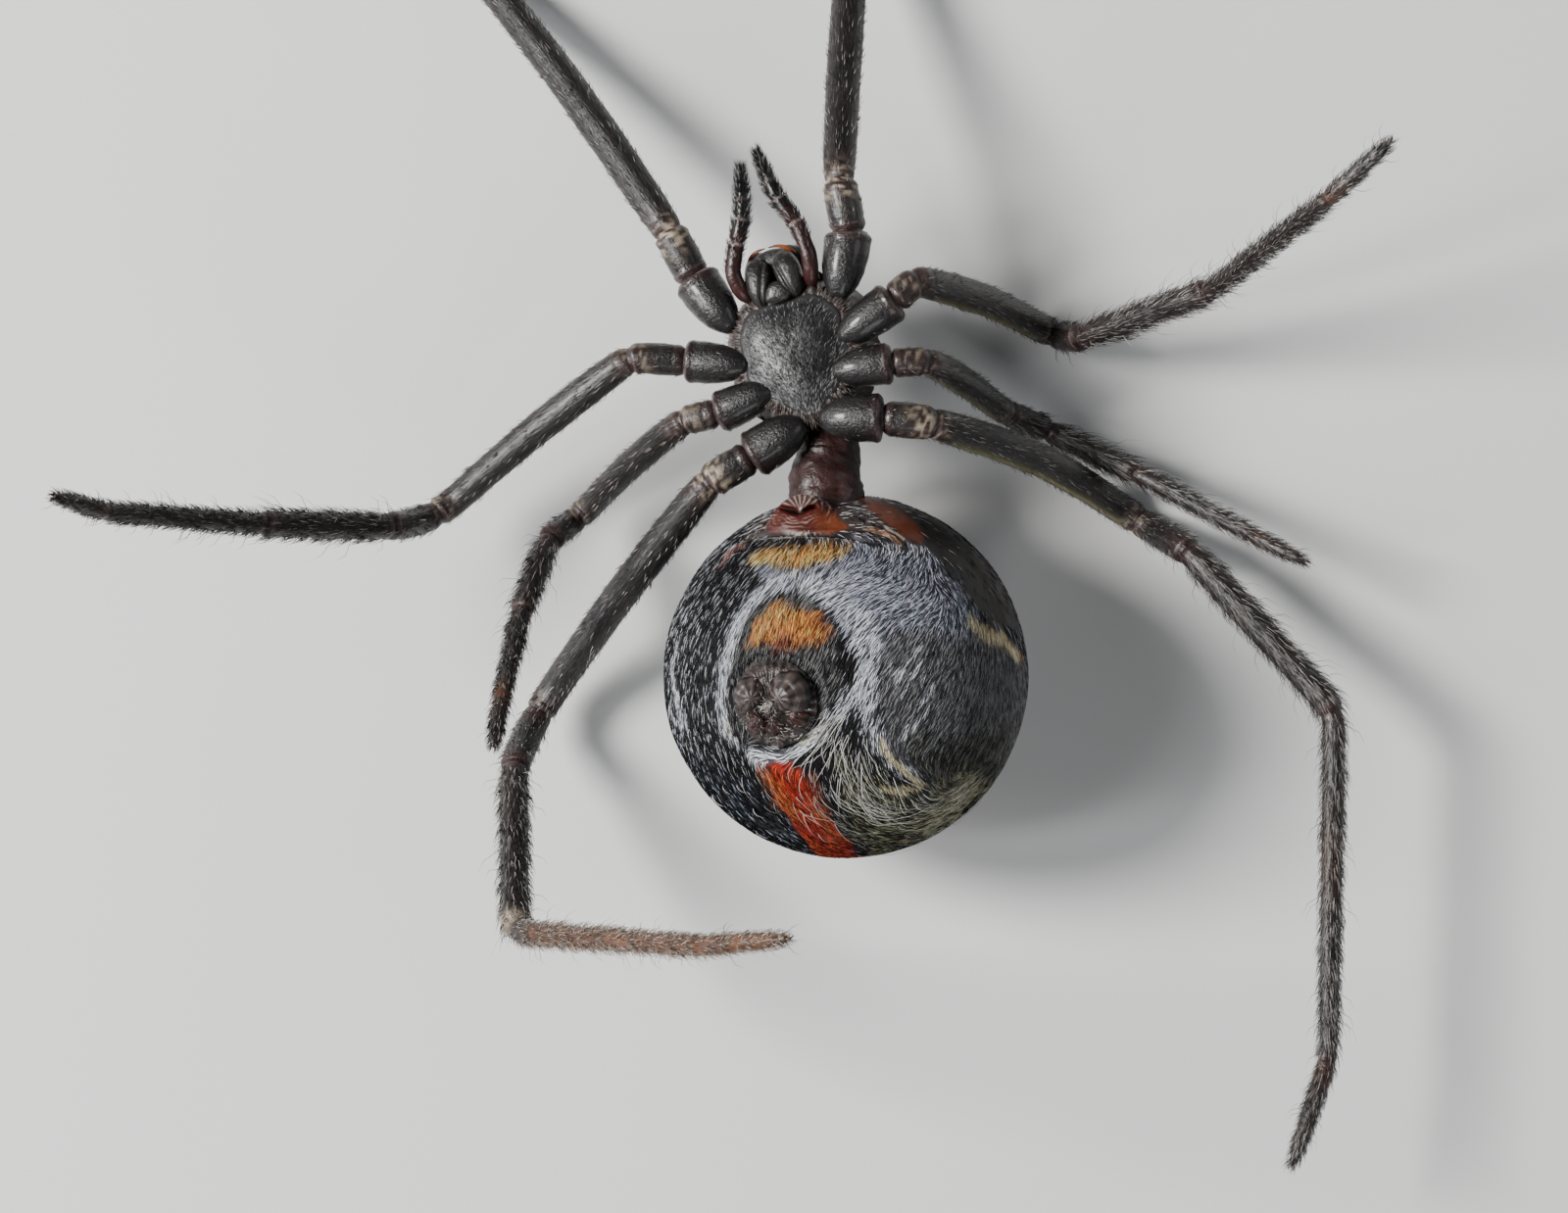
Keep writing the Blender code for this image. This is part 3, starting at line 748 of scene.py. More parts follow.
legHairs = {
    "perLength": 300,
    "length": (0.20, 0.40),
    "width": 0.0074,
    # share of hairs and their relative length on coxa ... tarsus
    "chance": (0.10, 0.14, 0.42, 0.55, 0.95, 1.0, 1.0),
    "reach": (0.34, 0.38, 0.55, 0.75, 1.15, 0.95, 0.70),
    # one hair in forty is a long, raised bristle
    "bristles": 0.025,
    "bristleLength": 1.9,
    "bristleRise": 58,
    # share of pale hairs on each leg
    "pale": {"R1": 0.30, "L1": 0.50, "R2": 0.32, "L2": 0.62, "R3": 0.32, "L3": 0.62, "R4": 0.40, "L4": 0.66},
}


def legHair(leg, line, width, tint, part, strip):
    draw = np.random.default_rng(40 + strip)
    count = int(legHairs["perLength"] * line.total)
    marks = draw.uniform(0.5, line.total, count)
    turns = draw.uniform(0, 2 * math.pi, count)
    step = np.clip(np.searchsorted(line.at, marks), 1, len(line.at) - 1)
    share = ((marks - line.at[step - 1]) / (line.at[step] - line.at[step - 1]))[:, None]
    centre = line.points[step - 1] * (1 - share) + line.points[step] * share
    ahead = line.ahead[step]
    outs = line.side[step] * np.cos(turns)[:, None] + line.up[step] * np.sin(turns)[:, None]
    roots = centre + outs * np.interp(marks, line.at, width)[:, None]
    kind = part[step]
    near = np.min(np.abs(marks[:, None] - np.array(line.joints)[None, :]), axis=1)
    keep = draw.random(count) < np.take(legHairs["chance"], kind) * np.clip(near / 0.16, 0.05, 1)
    keep &= roots[:, 2] > 0.03
    lengths = draw.uniform(*legHairs["length"], count) * np.take(legHairs["reach"], kind)
    rises = draw.uniform(10, 36, count)
    bristle = (draw.random(count) < legHairs["bristles"]) & (kind > 2)
    lengths = np.where(bristle, lengths * legHairs["bristleLength"], lengths)
    rises = np.where(bristle, legHairs["bristleRise"], rises)
    pale = draw.random(count) < legHairs["pale"][leg]
    grey = shades(draw, 0.06, 0.40, count, (1.0, 0.95, 0.90))
    dark = shades(draw, 0.004, 0.02, count, (1.0, 0.9, 0.85))
    colours = np.where(pale[:, None], grey, dark)
    warmth = smoothStep(0.10, 0.25, tint[step][:, 0]) * 0.6
    if leg == "R4":
        warmth = np.maximum(warmth, 0.5 * smoothStep(line.bounds[5], line.bounds[5] + 1.0, marks))
        pale |= (marks > line.bounds[5]) & (draw.random(count) < 0.55)
        colours = np.where(pale[:, None], grey * 1.4, dark)
    colours = blendTo(colours, (0.45, 0.30, 0.16), warmth * draw.random(count))
    lies = ahead + draw.normal(scale=0.10, size=(count, 3))
    paths = leaningPaths(roots, outs, lies, lengths, rises)
    paths[:, 1:, 2] = np.maximum(paths[:, 1:, 2], 0.015)
    spots = np.stack([0.02 + 0.96 * marks / line.total, 0.02 + 0.12 * strip + 0.10 * turns / (2 * math.pi)],
                     axis=1)
    return [value[keep] for value in (paths, outs, colours, spots)]


def addClaws(line):
    # two small hooks at the tip
    items = []
    tip = Vector(line.points[-1])
    ahead = Vector(line.ahead[-1])
    side = Vector(line.side[-1])
    down = Vector(line.up[-1]) * (1 if line.up[-1][2] < 0 else -1)
    for way in (-1, 1):
        places = [tip - ahead * 0.06 + side * 0.03 * way, tip + ahead * 0.03 + side * 0.045 * way,
                  tip + ahead * 0.09 + side * 0.05 * way + down * 0.03,
                  tip + ahead * 0.11 + side * 0.05 * way + down * 0.08]
        items.append(sweptTube(places, (0.022, 0.020, 0.014, 0.004), 8))
    return items


def addLegs():
    claws = []
    order = list(legs["pose"])
    for pair in legs["lengths"]:
        coats = []
        for leg in (f"R{pair}", f"L{pair}"):
            line = legLine(leg)
            width, tint, part = legProfile(leg, line)
            item = sweptTube(line.points, width, legs["sides"])
            index = line.comb(item)
            points = verticesOf(item)
            near = np.min(np.abs(line.at[index][:, None] - np.array(line.joints)[None, :]), axis=1)
            rough = 0.006 + 0.016 * np.exp(-(near / 0.22) ** 2)
            points = points + normalsOf(item) * (rough * noiseAt(points, 5.5, 1.9))[:, None]
            points[:, 2] = np.maximum(points[:, 2], 0.0)
            moveVertices(item, points)
            giveTint(item, paintLeg(leg, line, item, index, tint))
            gloss = 1.0 - smoothStep(line.bounds[1] - 0.1, line.bounds[2] + 0.2, line.at[index])
            if leg == "R4":
                gloss = gloss + 0.5 * smoothStep(line.bounds[5], line.bounds[5] + 0.8, line.at[index])
            giveMeasure(item, "gloss", gloss)
            nodes = [f"leg_{leg}_{kind}" for kind in legs["kinds"]]
            finishPiece(item, f"legSkin{leg}", "leg", "leg_black", *nodes)
            coats.append(legHair(leg, line, width, tint, part, order.index(leg)))
            claws += addClaws(line)
        paths, outs, colours, spots = (np.concatenate(parts) for parts in zip(*coats))
        growHairs(f"legBristles{pair}", "hair", "leg_black", paths, outs, legHairs["width"], colours, spots)
    claw = joinPieces(claws)
    giveTint(claw, legTones["claw"])
    finishPiece(claw, "tarsalClaws", "claw", "leg_black")


addLegs()
sayStage("legs")


# Front body: carapace with eyes, breast plate in its soft skin, mouthparts, jaws, palps.
carapace = {
    "length": 4.0,
    "width": 3.0,
    "depth": 1.15,
    "level": -1.03,
    "skin": (0.016, 0.011, 0.010),
    "rim": (0.09, 0.022, 0.018),
    # place across, forward and down on the shell, and size, of each pair of eyes
    "eyes": (
        (0.14, 0.93, 0.34, 0.13), (0.44, 0.88, 0.36, 0.12), (0.20, 0.76, 0.64, 0.13),
        (0.52, 0.70, 0.60, 0.12),
    ),
}
breast = {
    # margin of the plate, from its front left corner round by the rear tip
    "margin": (
        (-0.74, 1.09), (-0.40, 1.13), (0.02, 1.12), (0.40, 1.13), (0.76, 1.09), (0.98, 0.84), (1.16, 0.56),
        (1.09, 0.34), (1.07, 0.08), (1.14, -0.20), (0.98, -0.40), (0.86, -0.62), (0.72, -0.95), (0.50, -1.06),
        (0.26, -1.22), (0.0, -1.26), (-0.26, -1.18), (-0.44, -0.96), (-0.62, -0.78), (-0.88, -0.56),
        (-1.10, -0.22), (-1.02, 0.02), (-1.05, 0.28), (-1.04, 0.60), (-0.92, 0.86),
    ),
    "rise": 0.20,
    "roundness": 2.8,
    "edge": (0.060, 0.056, 0.055),
    "hairs": 2600,
}
# the soft skin: how far it reaches past the plate, its tones, and its short pale hairs
hips = {"reach": 0.50, "skin": (0.040, 0.034, 0.032), "red": (0.022, 0.0055, 0.0045), "hairs": 900}


def marginAt(turns):
    # distance from the middle of the plate to its margin, in a direction
    marks = np.array(breast["margin"])
    angles = np.arctan2(marks[:, 1], marks[:, 0])
    order = np.argsort(angles)
    reach = np.hypot(marks[:, 0], marks[:, 1])[order]
    total = np.zeros_like(turns)
    for shift, weight in ((-0.10, 0.25), (0.0, 0.5), (0.10, 0.25)):
        total = total + weight * np.interp(turns + shift, angles[order], reach, period=2 * math.pi)
    return total


def domePoints(unit):
    x, y, z = unit[:, 0], unit[:, 1], unit[:, 2]
    pear = 1.0 - 0.42 * np.maximum(0.0, y) ** 1.3 - 0.06 * np.maximum(0.0, -y)
    hump = 1.0 + 0.10 * bellAt(y, 0.35, 0.4)
    # a dent behind the head and shallow grooves that run out from it
    dent = bellAt(y, -0.25, 0.14) * bellAt(x, 0, 0.16) * 0.16
    away = np.hypot(x, y + 0.25)
    grooves = 0.03 * np.maximum(0, np.cos(np.arctan2(x, y + 0.25) * 5)) ** 6 * bellAt(away, 0.5, 0.25)
    height = np.where(z < 0, carapace["depth"] * hump * z + dent + grooves, 0.06 * z)
    return np.stack([x * carapace["width"] / 2 * pear, 0.25 + y * carapace["length"] / 2,
                     carapace["level"] + height], axis=1)


def addCarapace():
    item = addBall(6)
    unit = verticesOf(item)
    moveVertices(item, toWorld(domePoints(unit)))
    colours = blendTo(carapace["skin"], carapace["rim"], 0.7 * (unit[:, 2] > 0.02))
    giveTint(item, mottled(colours, unit, 0.4, 3.0))
    finishPiece(item, "carapaceShell", "carapace", "carapace_black", "carapace")
    eyes = []
    for across, forward, down, size in carapace["eyes"]:
        for side in (-1, 1):
            spot = Vector((side * across, forward, -down)).normalized()
            eye = addBall(3)
            moveVertices(eye, verticesOf(eye) * size + toWorld(domePoints(np.array([tuple(spot)])))[0])
            eyes.append(eye)
    finishPiece(joinPieces(eyes), "eyes", "eye", "carapace_black")


def hipLevel(beyond):
    return -0.95 * smoothStep(0.06, 0.54, beyond) ** 1.4


def turnOut(ways):
    # directions of the front body in the world's axes
    return ways @ np.array(frontTurn).T


def addSoftSkin():
    # soft grey and red-brown skin between the breast plate and the hips
    item = discMesh(96, 15)
    away, turn = polar(verticesOf(item))
    reach = marginAt(turn)
    out = away * (reach + hips["reach"])
    beyond = out - reach
    creases = 0.030 * np.cos(turn * 46 + 3 * np.sin(turn * 7)) * smoothStep(-0.05, 0.15, beyond)
    shaped = np.column_stack([spread(turn, out) * (1, 0.98), -0.20 + hipLevel(beyond) + creases])
    mottle = noiseAt(shaped, 3.2, 2.0)
    red = smoothStep(0.00, 0.16, beyond + 0.12 * mottle)
    moveVertices(item, toWorld(shaped))
    giveTint(item, mottled(blendTo(hips["skin"], hips["red"], red), shaped, 0.35, 6.0, 9.0))
    chooseOnly(item)
    bpy.ops.object.modifier_add(type="SOLIDIFY")
    item.modifiers[0].thickness = 0.04 * mm
    bpy.ops.object.modifier_apply(modifier=item.modifiers[0].name)
    finishPiece(item, "hipSkin", "soft", "breast_black")
    # short pale hairs that fan out over its folds
    draw = np.random.default_rng(23)
    count = hips["hairs"]
    turn = draw.uniform(-math.pi, math.pi, count)
    beyond = draw.uniform(0.0, 0.30, count)
    flat = spread(turn, marginAt(turn) + beyond) * (1, 0.98)
    ways = (np.column_stack([spread(turn, 1.0), np.full(count, -0.5)])
            + draw.normal(scale=0.3, size=(count, 3)))
    outs = turnOut(np.column_stack([spread(turn, 0.5), np.full(count, 0.87)]))
    roots = toWorld(np.column_stack([flat, -0.19 + hipLevel(beyond)]))
    paths = leaningPaths(roots, outs, turnOut(ways), draw.uniform(0.10, 0.26, count),
                         draw.uniform(8, 30, count))
    tone = shades(draw, 0.02, 0.30, count, (1.0, 0.92, 0.82))
    growHairs("hipBristles", "hair", "breast_black", paths, outs, 0.0055, tone, 0.5 + 0.28 * flat)


def plateDome(away):
    return breast["rise"] * (1 - away ** breast["roundness"])


def addBreastPlate():
    item = discMesh(96, 15)
    bpy.ops.object.mode_set(mode="EDIT")
    bpy.ops.mesh.select_all(action="SELECT")
    bpy.ops.mesh.extrude_region_move(TRANSFORM_OT_translate={"value": (0, 0, -0.05 * mm)})
    bpy.ops.object.mode_set(mode="OBJECT")
    points = verticesOf(item)
    away, turn = polar(points)
    bottom = points[:, 2] < -0.02
    # domed, drawn down at its rim, with a fine raised edge
    dome = plateDome(away) + 0.012 * bellAt(away, 0.955, 0.025) - 0.010 * bellAt(away, 0.90, 0.03)
    height = np.where(bottom, -breast["rise"] - 0.04, -breast["rise"] + dome)
    shaped = np.column_stack([spread(turn, away * marginAt(turn)), height])
    shaped[:, 2] += np.where(bottom, 0, 0.010 * noiseAt(shaped, 2.2, 5.0) + 0.004 * noiseAt(shaped, 9.0, 1.0))
    moveVertices(item, toWorld(shaped))
    tidyMesh(item)
    shaped = (verticesOf(item) - np.array(frontBody["centre"])) @ np.array(frontTurn)
    grey = np.clip(0.013 + 0.006 * noiseAt(shaped, 1.5, 4.0), 0.004, 1)
    away, turn = polar(shaped)
    rim = smoothStep(0.80, 1.0, away / marginAt(turn))
    giveTint(item, blendTo(grey[:, None] * np.array((1.0, 1.0, 1.04)), breast["edge"], 0.55 * rim))
    finishPiece(item, "breastPlate", "breast", "breast_black", "sternum")
    draw = np.random.default_rng(7)
    count = breast["hairs"]
    turn = draw.uniform(-math.pi, math.pi, count)
    away = np.sqrt(draw.uniform(0, 0.97, count))
    flat = spread(turn, away * marginAt(turn))
    roots = toWorld(np.column_stack([flat, -breast["rise"] + plateDome(away)]))
    outs = np.tile(np.array(frontTurn @ Vector((0, 0, 1))), (count, 1))
    # the hairs point back and towards the middle
    lies = np.stack([-flat[:, 0] * 0.9, -1.0 - 0.2 * flat[:, 1], 0 * away], axis=1)
    lies = turnOut(lies + draw.normal(scale=0.15, size=(count, 3)))
    paths = leaningPaths(roots, outs, lies, draw.uniform(0.09, 0.17, count), draw.uniform(10, 34, count))
    pale = draw.random(count) < 0.06 + 0.55 * smoothStep(0.55, 1.0, away) + 0.2 * (flat[:, 1] < -0.6)
    colours = np.where(pale[:, None], shades(draw, 0.15, 0.45, count), shades(draw, 0.004, 0.02, count))
    growHairs("breastBristles", "hair", "breast_black", paths, outs, 0.0048, colours, 0.5 + 0.35 * flat)


mouth = {
    # size, place and turn of each lobe; size and place of the lip and of the tongue between them
    "lobe": (0.275, 0.50, 0.30),
    "lobePlace": (0.325, 1.63, -0.17),
    "lobeTurn": 3,
    "lip": (0.25, 0.22, 0.13),
    "lipPlace": (0.0, 1.31, -0.02),
    "tongue": (0.46, 0.25, 0.16),
    "tonguePlace": (0.0, 2.02, -0.38),
    "skin": (1.0, 0.96, 0.93),
    "hairs": 260,
}


def addMouthparts():
    items = []
    for side in (-1, 1):
        lobe = addBall(5)
        unit = verticesOf(lobe)
        x, y, z = unit[:, 0] * side, unit[:, 1], unit[:, 2]
        x = np.sign(x) * np.abs(x) ** 0.8
        y = np.sign(y) * np.abs(y) ** 0.85
        # blunt at both ends, pressed against its partner
        wide, tall, deep = mouth["lobe"]
        wide = wide * (1 - 0.16 * y ** 2) + 0.015 * y
        shaped = np.stack([side * (x * wide - 0.04 * y * (x < 0)), y * tall, z * deep * (1 - 0.12 * y)],
                          axis=1)
        shaped[:, 2] -= 0.06 * bellAt(x + 0.25 * y, -0.40, 0.16) * (z > 0)
        shaped += 0.008 * unit * noiseAt(unit, 4.0, side * 3.0)[:, None]
        turn = np.array(Matrix.Rotation(math.radians(side * mouth["lobeTurn"]), 3, "Z"))
        across, forward, level = mouth["lobePlace"]
        moveVertices(lobe, toWorld(shaped @ turn.T + np.array([side * across - 0.02, forward, level])))
        items.append(lobe)
    lip = addBall(4)
    unit = verticesOf(lip)
    unit = np.sign(unit) * np.abs(unit) ** np.array((0.75, 0.75, 1.0))
    wide, tall, deep = mouth["lip"]
    shaped = np.stack([unit[:, 0] * (wide - 0.08 * unit[:, 1]), unit[:, 1] * tall, unit[:, 2] * deep], axis=1)
    moveVertices(lip, toWorld(shaped + np.array(mouth["lipPlace"])))
    items.append(lip)
    tongue = addBall(4)
    moveVertices(tongue, toWorld(verticesOf(tongue) * np.array(mouth["tongue"])
                                 + np.array(mouth["tonguePlace"])))
    items.append(tongue)
    item = joinPieces(items)
    points = verticesOf(item)
    grey = np.clip(0.024 + 0.020 * noiseAt(points, 3.5, 6.0), 0.006, 1)
    giveTint(item, grey[:, None] * np.array(mouth["skin"]))
    finishPiece(item, "mouthLobes", "mouth", "mouth_black", "mouthparts")
    draw = np.random.default_rng(17)
    count = mouth["hairs"]
    side = np.where(draw.random(count) < 0.5, -1.0, 1.0)
    turn = draw.uniform(0.1, math.pi - 0.1, count)
    inner = draw.uniform(0.70, 1.0, count)
    local = np.stack([np.cos(turn) * 0.28 * inner, np.sin(turn) * 0.46 * inner,
                      0.28 * np.sqrt(1 - inner ** 2)], axis=1)
    roots = toWorld(local + np.stack([side * 0.315 - 0.02, np.full(count, 1.63), np.full(count, -0.17)],
                                     axis=1))
    outs = turnOut(unitRows(local))
    lies = turnOut(np.stack([-side * 0.5, np.full(count, 0.9), np.full(count, 0.1)], axis=1))
    lies = lies + draw.normal(scale=0.35, size=(count, 3))
    paths = leaningPaths(roots, outs, lies, draw.uniform(0.05, 0.12, count), draw.uniform(20, 60, count))
    pale = draw.random(count) < 0.3
    colours = np.where(pale[:, None], shades(draw, 0.1, 0.3, count), 0.008) * np.array((1.0, 0.9, 0.75))
    growHairs("mouthBristles", "hair", "mouth_black", paths, outs, 0.0045, colours,
              0.5 + 0.3 * local[:, :2] + np.stack([0.2 * side, 0 * side], axis=1))


jaws = {
    # path of each jaw and each fang on the animal's left side, and radii at shares of their length
    "jaw": ((0.42, 1.85, -0.87), (0.36, 1.95, -0.70), (0.30, 2.04, -0.50), (0.30, 2.09, -0.36)),
    "fang": ((0.47, 2.06, -0.34), (0.42, 2.16, -0.18), (0.24, 2.255, -0.12), (0.03, 2.26, -0.10)),
    "jawWidth": ((0, 0.3, 0.7, 0.93, 1), (0.26, 0.31, 0.30, 0.24, 0.15)),
    "fangWidth": ((0, 0.25, 0.7, 1), (0.060, 0.046, 0.032, 0.010)),
    "skin": (0.010, 0.006, 0.0055),
    "fangSkin": (0.27, 0.072, 0.020),
    "fangTip": (0.05, 0.015, 0.010),
}


def taperedTube(line, widths, sides):
    return sweptTube(line.points, np.interp(line.at / line.total, *widths), sides)


def addJaws():
    for name, side in (("R", -1), ("L", 1)):
        jawPath, fangPath = ([front @ Vector((side * x, y, z)) for x, y, z in jaws[kind]]
                             for kind in ("jaw", "fang"))
        fangLine = Line(roundedPath(fangPath, (0.1, 0.1))[0], 0.03)
        jaw = taperedTube(Line(jawPath, 0.05), jaws["jawWidth"], 20)
        giveTint(jaw, jaws["skin"])
        fang = taperedTube(fangLine, jaws["fangWidth"], 12)
        shares = (fangLine.at / fangLine.total)[fangLine.nearest(verticesOf(fang))]
        giveTint(fang, blendTo(jaws["fangSkin"], jaws["fangTip"], smoothStep(0.55, 1.0, shares)))
        finishPiece(joinPieces([jaw, fang]), f"jaw{name}", "jaw", "jaw_brown", f"chelicera_{name}")


palps = {
    "R": (
        (-0.60, 1.36, -0.42), (-0.74, 1.52, -0.10), (-0.80, 1.92, 0.06), (-0.52, 2.52, 0.16),
        (-0.27, 2.96, 0.20), (-0.06, 3.91, 0.24),
    ),
    "L": (
        (0.62, 1.30, -0.42), (0.76, 1.46, -0.10), (0.86, 1.84, 0.06), (0.78, 2.60, 0.16), (0.50, 3.14, 0.20),
        (0.36, 4.15, 0.24),
    ),
    "width": ((0, 0.10, 0.25, 0.45, 0.62, 0.82, 0.94, 1),
              (0.12, 0.16, 0.165, 0.16, 0.165, 0.13, 0.07, 0.025)),
    "skin": (0.032, 0.0095, 0.0085),
    "dark": (0.005, 0.004, 0.004),
    "ring": (0.34, 0.27, 0.25),
    "hairs": 950,
}


def addPalps():
    for name in ("R", "L"):
        corners = [front @ Vector(place) for place in palps[name]]
        path, middles = roundedPath(corners, (0.15, 0.2, 0.3, 0.3))
        line = Line(path, 0.045, middles[1:], 0.025, 0.2)
        share = line.at / line.total
        width = np.interp(share, *palps["width"])
        bend = line.joints[2]
        tint = blendTo(palps["skin"], palps["dark"], smoothStep(bend - 0.45, bend - 0.15, line.at))
        for joint in line.joints[1:] + [bend + 0.42]:
            width *= 1 - 0.17 * bellAt(line.at, joint, 0.045) + 0.07 * bellAt(line.at, joint - 0.10, 0.06)
            tint = blendTo(tint, palps["ring"], 0.8 * bellAt(line.at, joint - 0.05, 0.028))
        item = sweptTube(line.points, width, 16)
        points = verticesOf(item)
        moveVertices(item, points + normalsOf(item) * (0.008 * noiseAt(points, 6.0, 2.0))[:, None])
        giveTint(item, mottled(tint[line.nearest(points)], points, 0.4, 3.0, 5.0))
        finishPiece(item, f"palp{name}", "palp", "palp_brown", f"palp_{name}")
        draw = np.random.default_rng(90 + ord(name))
        count = palps["hairs"]
        marks = line.total * (0.25 + 0.75 * draw.random(count) ** 0.6)
        turns = draw.uniform(0, 2 * math.pi, count)
        step = np.clip(np.searchsorted(line.at, marks), 1, len(line.at) - 1)
        outs = line.side[step] * np.cos(turns)[:, None] + line.up[step] * np.sin(turns)[:, None]
        roots = line.points[step] + outs * width[step][:, None]
        late = marks / line.total
        lengths = draw.uniform(0.10, 0.20, count) * np.interp(late, (0, 0.5, 1), (0.6, 0.9, 1.4))
        paths = leaningPaths(roots, outs, line.ahead[step], lengths, draw.uniform(18, 45, count))
        colours = np.where(draw.random(count)[:, None] < 0.10, 0.25, 0.006) * np.array((1.0, 0.95, 0.9))
        growHairs(f"palpBristles{name}", "hair", "palp_brown", paths, outs, 0.0075, colours,
                  np.stack([0.02 + 0.96 * late, 0.1 + 0.6 * turns / (2 * math.pi)], axis=1))


for addPart in (addCarapace, addSoftSkin, addBreastPlate, addMouthparts, addJaws, addPalps):
    addPart()
sayStage("front body")


# Abdomen: places are millimetres right and up of its centre, as the belly side shows them.
belly = {
    "radius": 3.70,
    "height": 3.56,
    "pedicel": Vector((-0.125, 0.985, 0.095)).normalized(),
    "spinneret": Vector((-0.392, -0.140, 0.909)).normalized(),
    "left": Vector((0.911, 0.080, 0.405)).normalized(),
    "frontPlate": (-0.92, 3.30),
}
bellyCentre = Vector((0, 0, belly["height"]))
# tones of the belly: skin, hair, share of hairs that have that tone, gloss
bellyTones = {
    "black": ((0.004, 0.004, 0.005), (0.42, 0.43, 0.47), 0.14, 0.15),
    "speckled": ((0.004, 0.004, 0.006), (0.72, 0.74, 0.82), 0.17, 0.10),
    "blueBlack": ((0.003, 0.004, 0.008), (0.40, 0.45, 0.55), 0.10, 0.40),
    "flank": ((0.075, 0.075, 0.079), (0.225, 0.225, 0.235), 0.66, 0.0),
    "greenBlack": ((0.012, 0.015, 0.011), (0.16, 0.17, 0.13), 0.35, 0.1),
    "lavender": ((0.085, 0.088, 0.108), (0.50, 0.52, 0.62), 0.66, 0.0),
    "white": ((0.085, 0.088, 0.105), (0.82, 0.84, 0.90), 0.80, 0.0),
    "cream": ((0.10, 0.092, 0.055), (0.82, 0.78, 0.58), 0.80, 0.0),
    "creamBar": ((0.46, 0.38, 0.22), (0.80, 0.69, 0.45), 0.96, 0.0),
    "olive": ((0.020, 0.020, 0.011), (0.38, 0.37, 0.23), 0.45, 0.0),
    "zone": ((0.016, 0.016, 0.016), (0.20, 0.20, 0.20), 0.52, 0.0),
    "orange": ((0.30, 0.10, 0.018), (0.82, 0.40, 0.10), 0.66, 0.0),
    "yellow": ((0.26, 0.14, 0.040), (0.78, 0.58, 0.26), 0.60, 0.0),
    "rust": ((0.12, 0.026, 0.016), (0.36, 0.12, 0.07), 0.45, 0.0),
    "red": ((0.26, 0.015, 0.006), (0.56, 0.045, 0.020), 0.55, 0.1),
    "scarlet": ((0.40, 0.090, 0.018), (0.78, 0.26, 0.07), 0.55, 0.1),
    "glossBrown": ((0.0055, 0.0022, 0.0018), (0.22, 0.21, 0.21), 0.25, 1.02),
    "lungBrown": ((0.14, 0.029, 0.008), (0.30, 0.12, 0.06), 0.2, 1.05),
    "lungEdge": ((0.42, 0.20, 0.10), (0.75, 0.52, 0.30), 0.6, 0.5),
    "mauve": ((0.070, 0.050, 0.047), (0.50, 0.48, 0.48), 0.30, 0.45),
    "paleLine": ((0.46, 0.40, 0.34), (0.7, 0.66, 0.6), 0.5, 0.3),
    "ring": ((0.022, 0.014, 0.013), (0.11, 0.085, 0.075), 0.3, 0.2),
}


def onBelly(x, y):
    return Vector((x, y, math.sqrt(max(belly["radius"] ** 2 - x * x - y * y, 0.0))))


def strokeLine(places):
    # points of a stroke on the belly's surface, with extra ones between
    points = [onBelly(*place) if len(place) == 2 else Vector(place) for place in places]
    full = [points[0]]
    for one, two in zip(points, points[1:]):
        count = max(1, math.ceil((two - one).length / 0.25))
        for step in range(1, count + 1):
            full.append(one.lerp(two, step / count).normalized() * belly["radius"])
    return np.array([tuple(place) for place in full])


def strokeDistance(points, places):
    # distance from each point to a stroke, and the share along it
    line = strokeLine(places)
    best = np.full(len(points), 1e9)
    along = np.zeros(len(points))
    if len(line) == 1:
        return np.linalg.norm(points - line[0], axis=1), along
    for index, (one, two) in enumerate(zip(line, line[1:])):
        span = two - one
        share = np.clip((points - one) @ span / (span @ span), 0, 1)
        away = np.linalg.norm(points - one - share[:, None] * span, axis=1)
        nearer = away < best
        best = np.where(nearer, away, best)
        along = np.where(nearer, (index + share) / (len(line) - 1), along)
    return best, along


def areaDistance(points, places):
    # distance to the outline of an area on the belly side, less than nothing inside it
    flat = points[:, :2]
    best = np.full(len(points), 1e9)
    inside = np.zeros(len(points), dtype=bool)
    corners = np.array(places, dtype=float)
    for one, two in zip(corners, np.roll(corners, -1, axis=0)):
        span = two - one
        share = np.clip((flat - one) @ span / (span @ span), 0, 1)
        best = np.minimum(best, np.linalg.norm(flat - one - share[:, None] * span, axis=1))
        crosses = (one[1] > flat[:, 1]) != (two[1] > flat[:, 1])
        edge = one[0] + (flat[:, 1] - one[1]) * span[0] / (span[1] if span[1] else 1e-9)
        inside ^= crosses & (flat[:, 0] < edge)
    return np.where(points[:, 2] < -0.1, 9.0, np.where(inside, -best, best))


def medianPlace(angle):
    # a place on the middle line: 0 at the pedicel, 90 at the spinnerets, 270 at the back
    turn = math.radians(angle)
    return tuple((belly["pedicel"] * math.cos(turn) + belly["spinneret"] * math.sin(turn)) * belly["radius"])


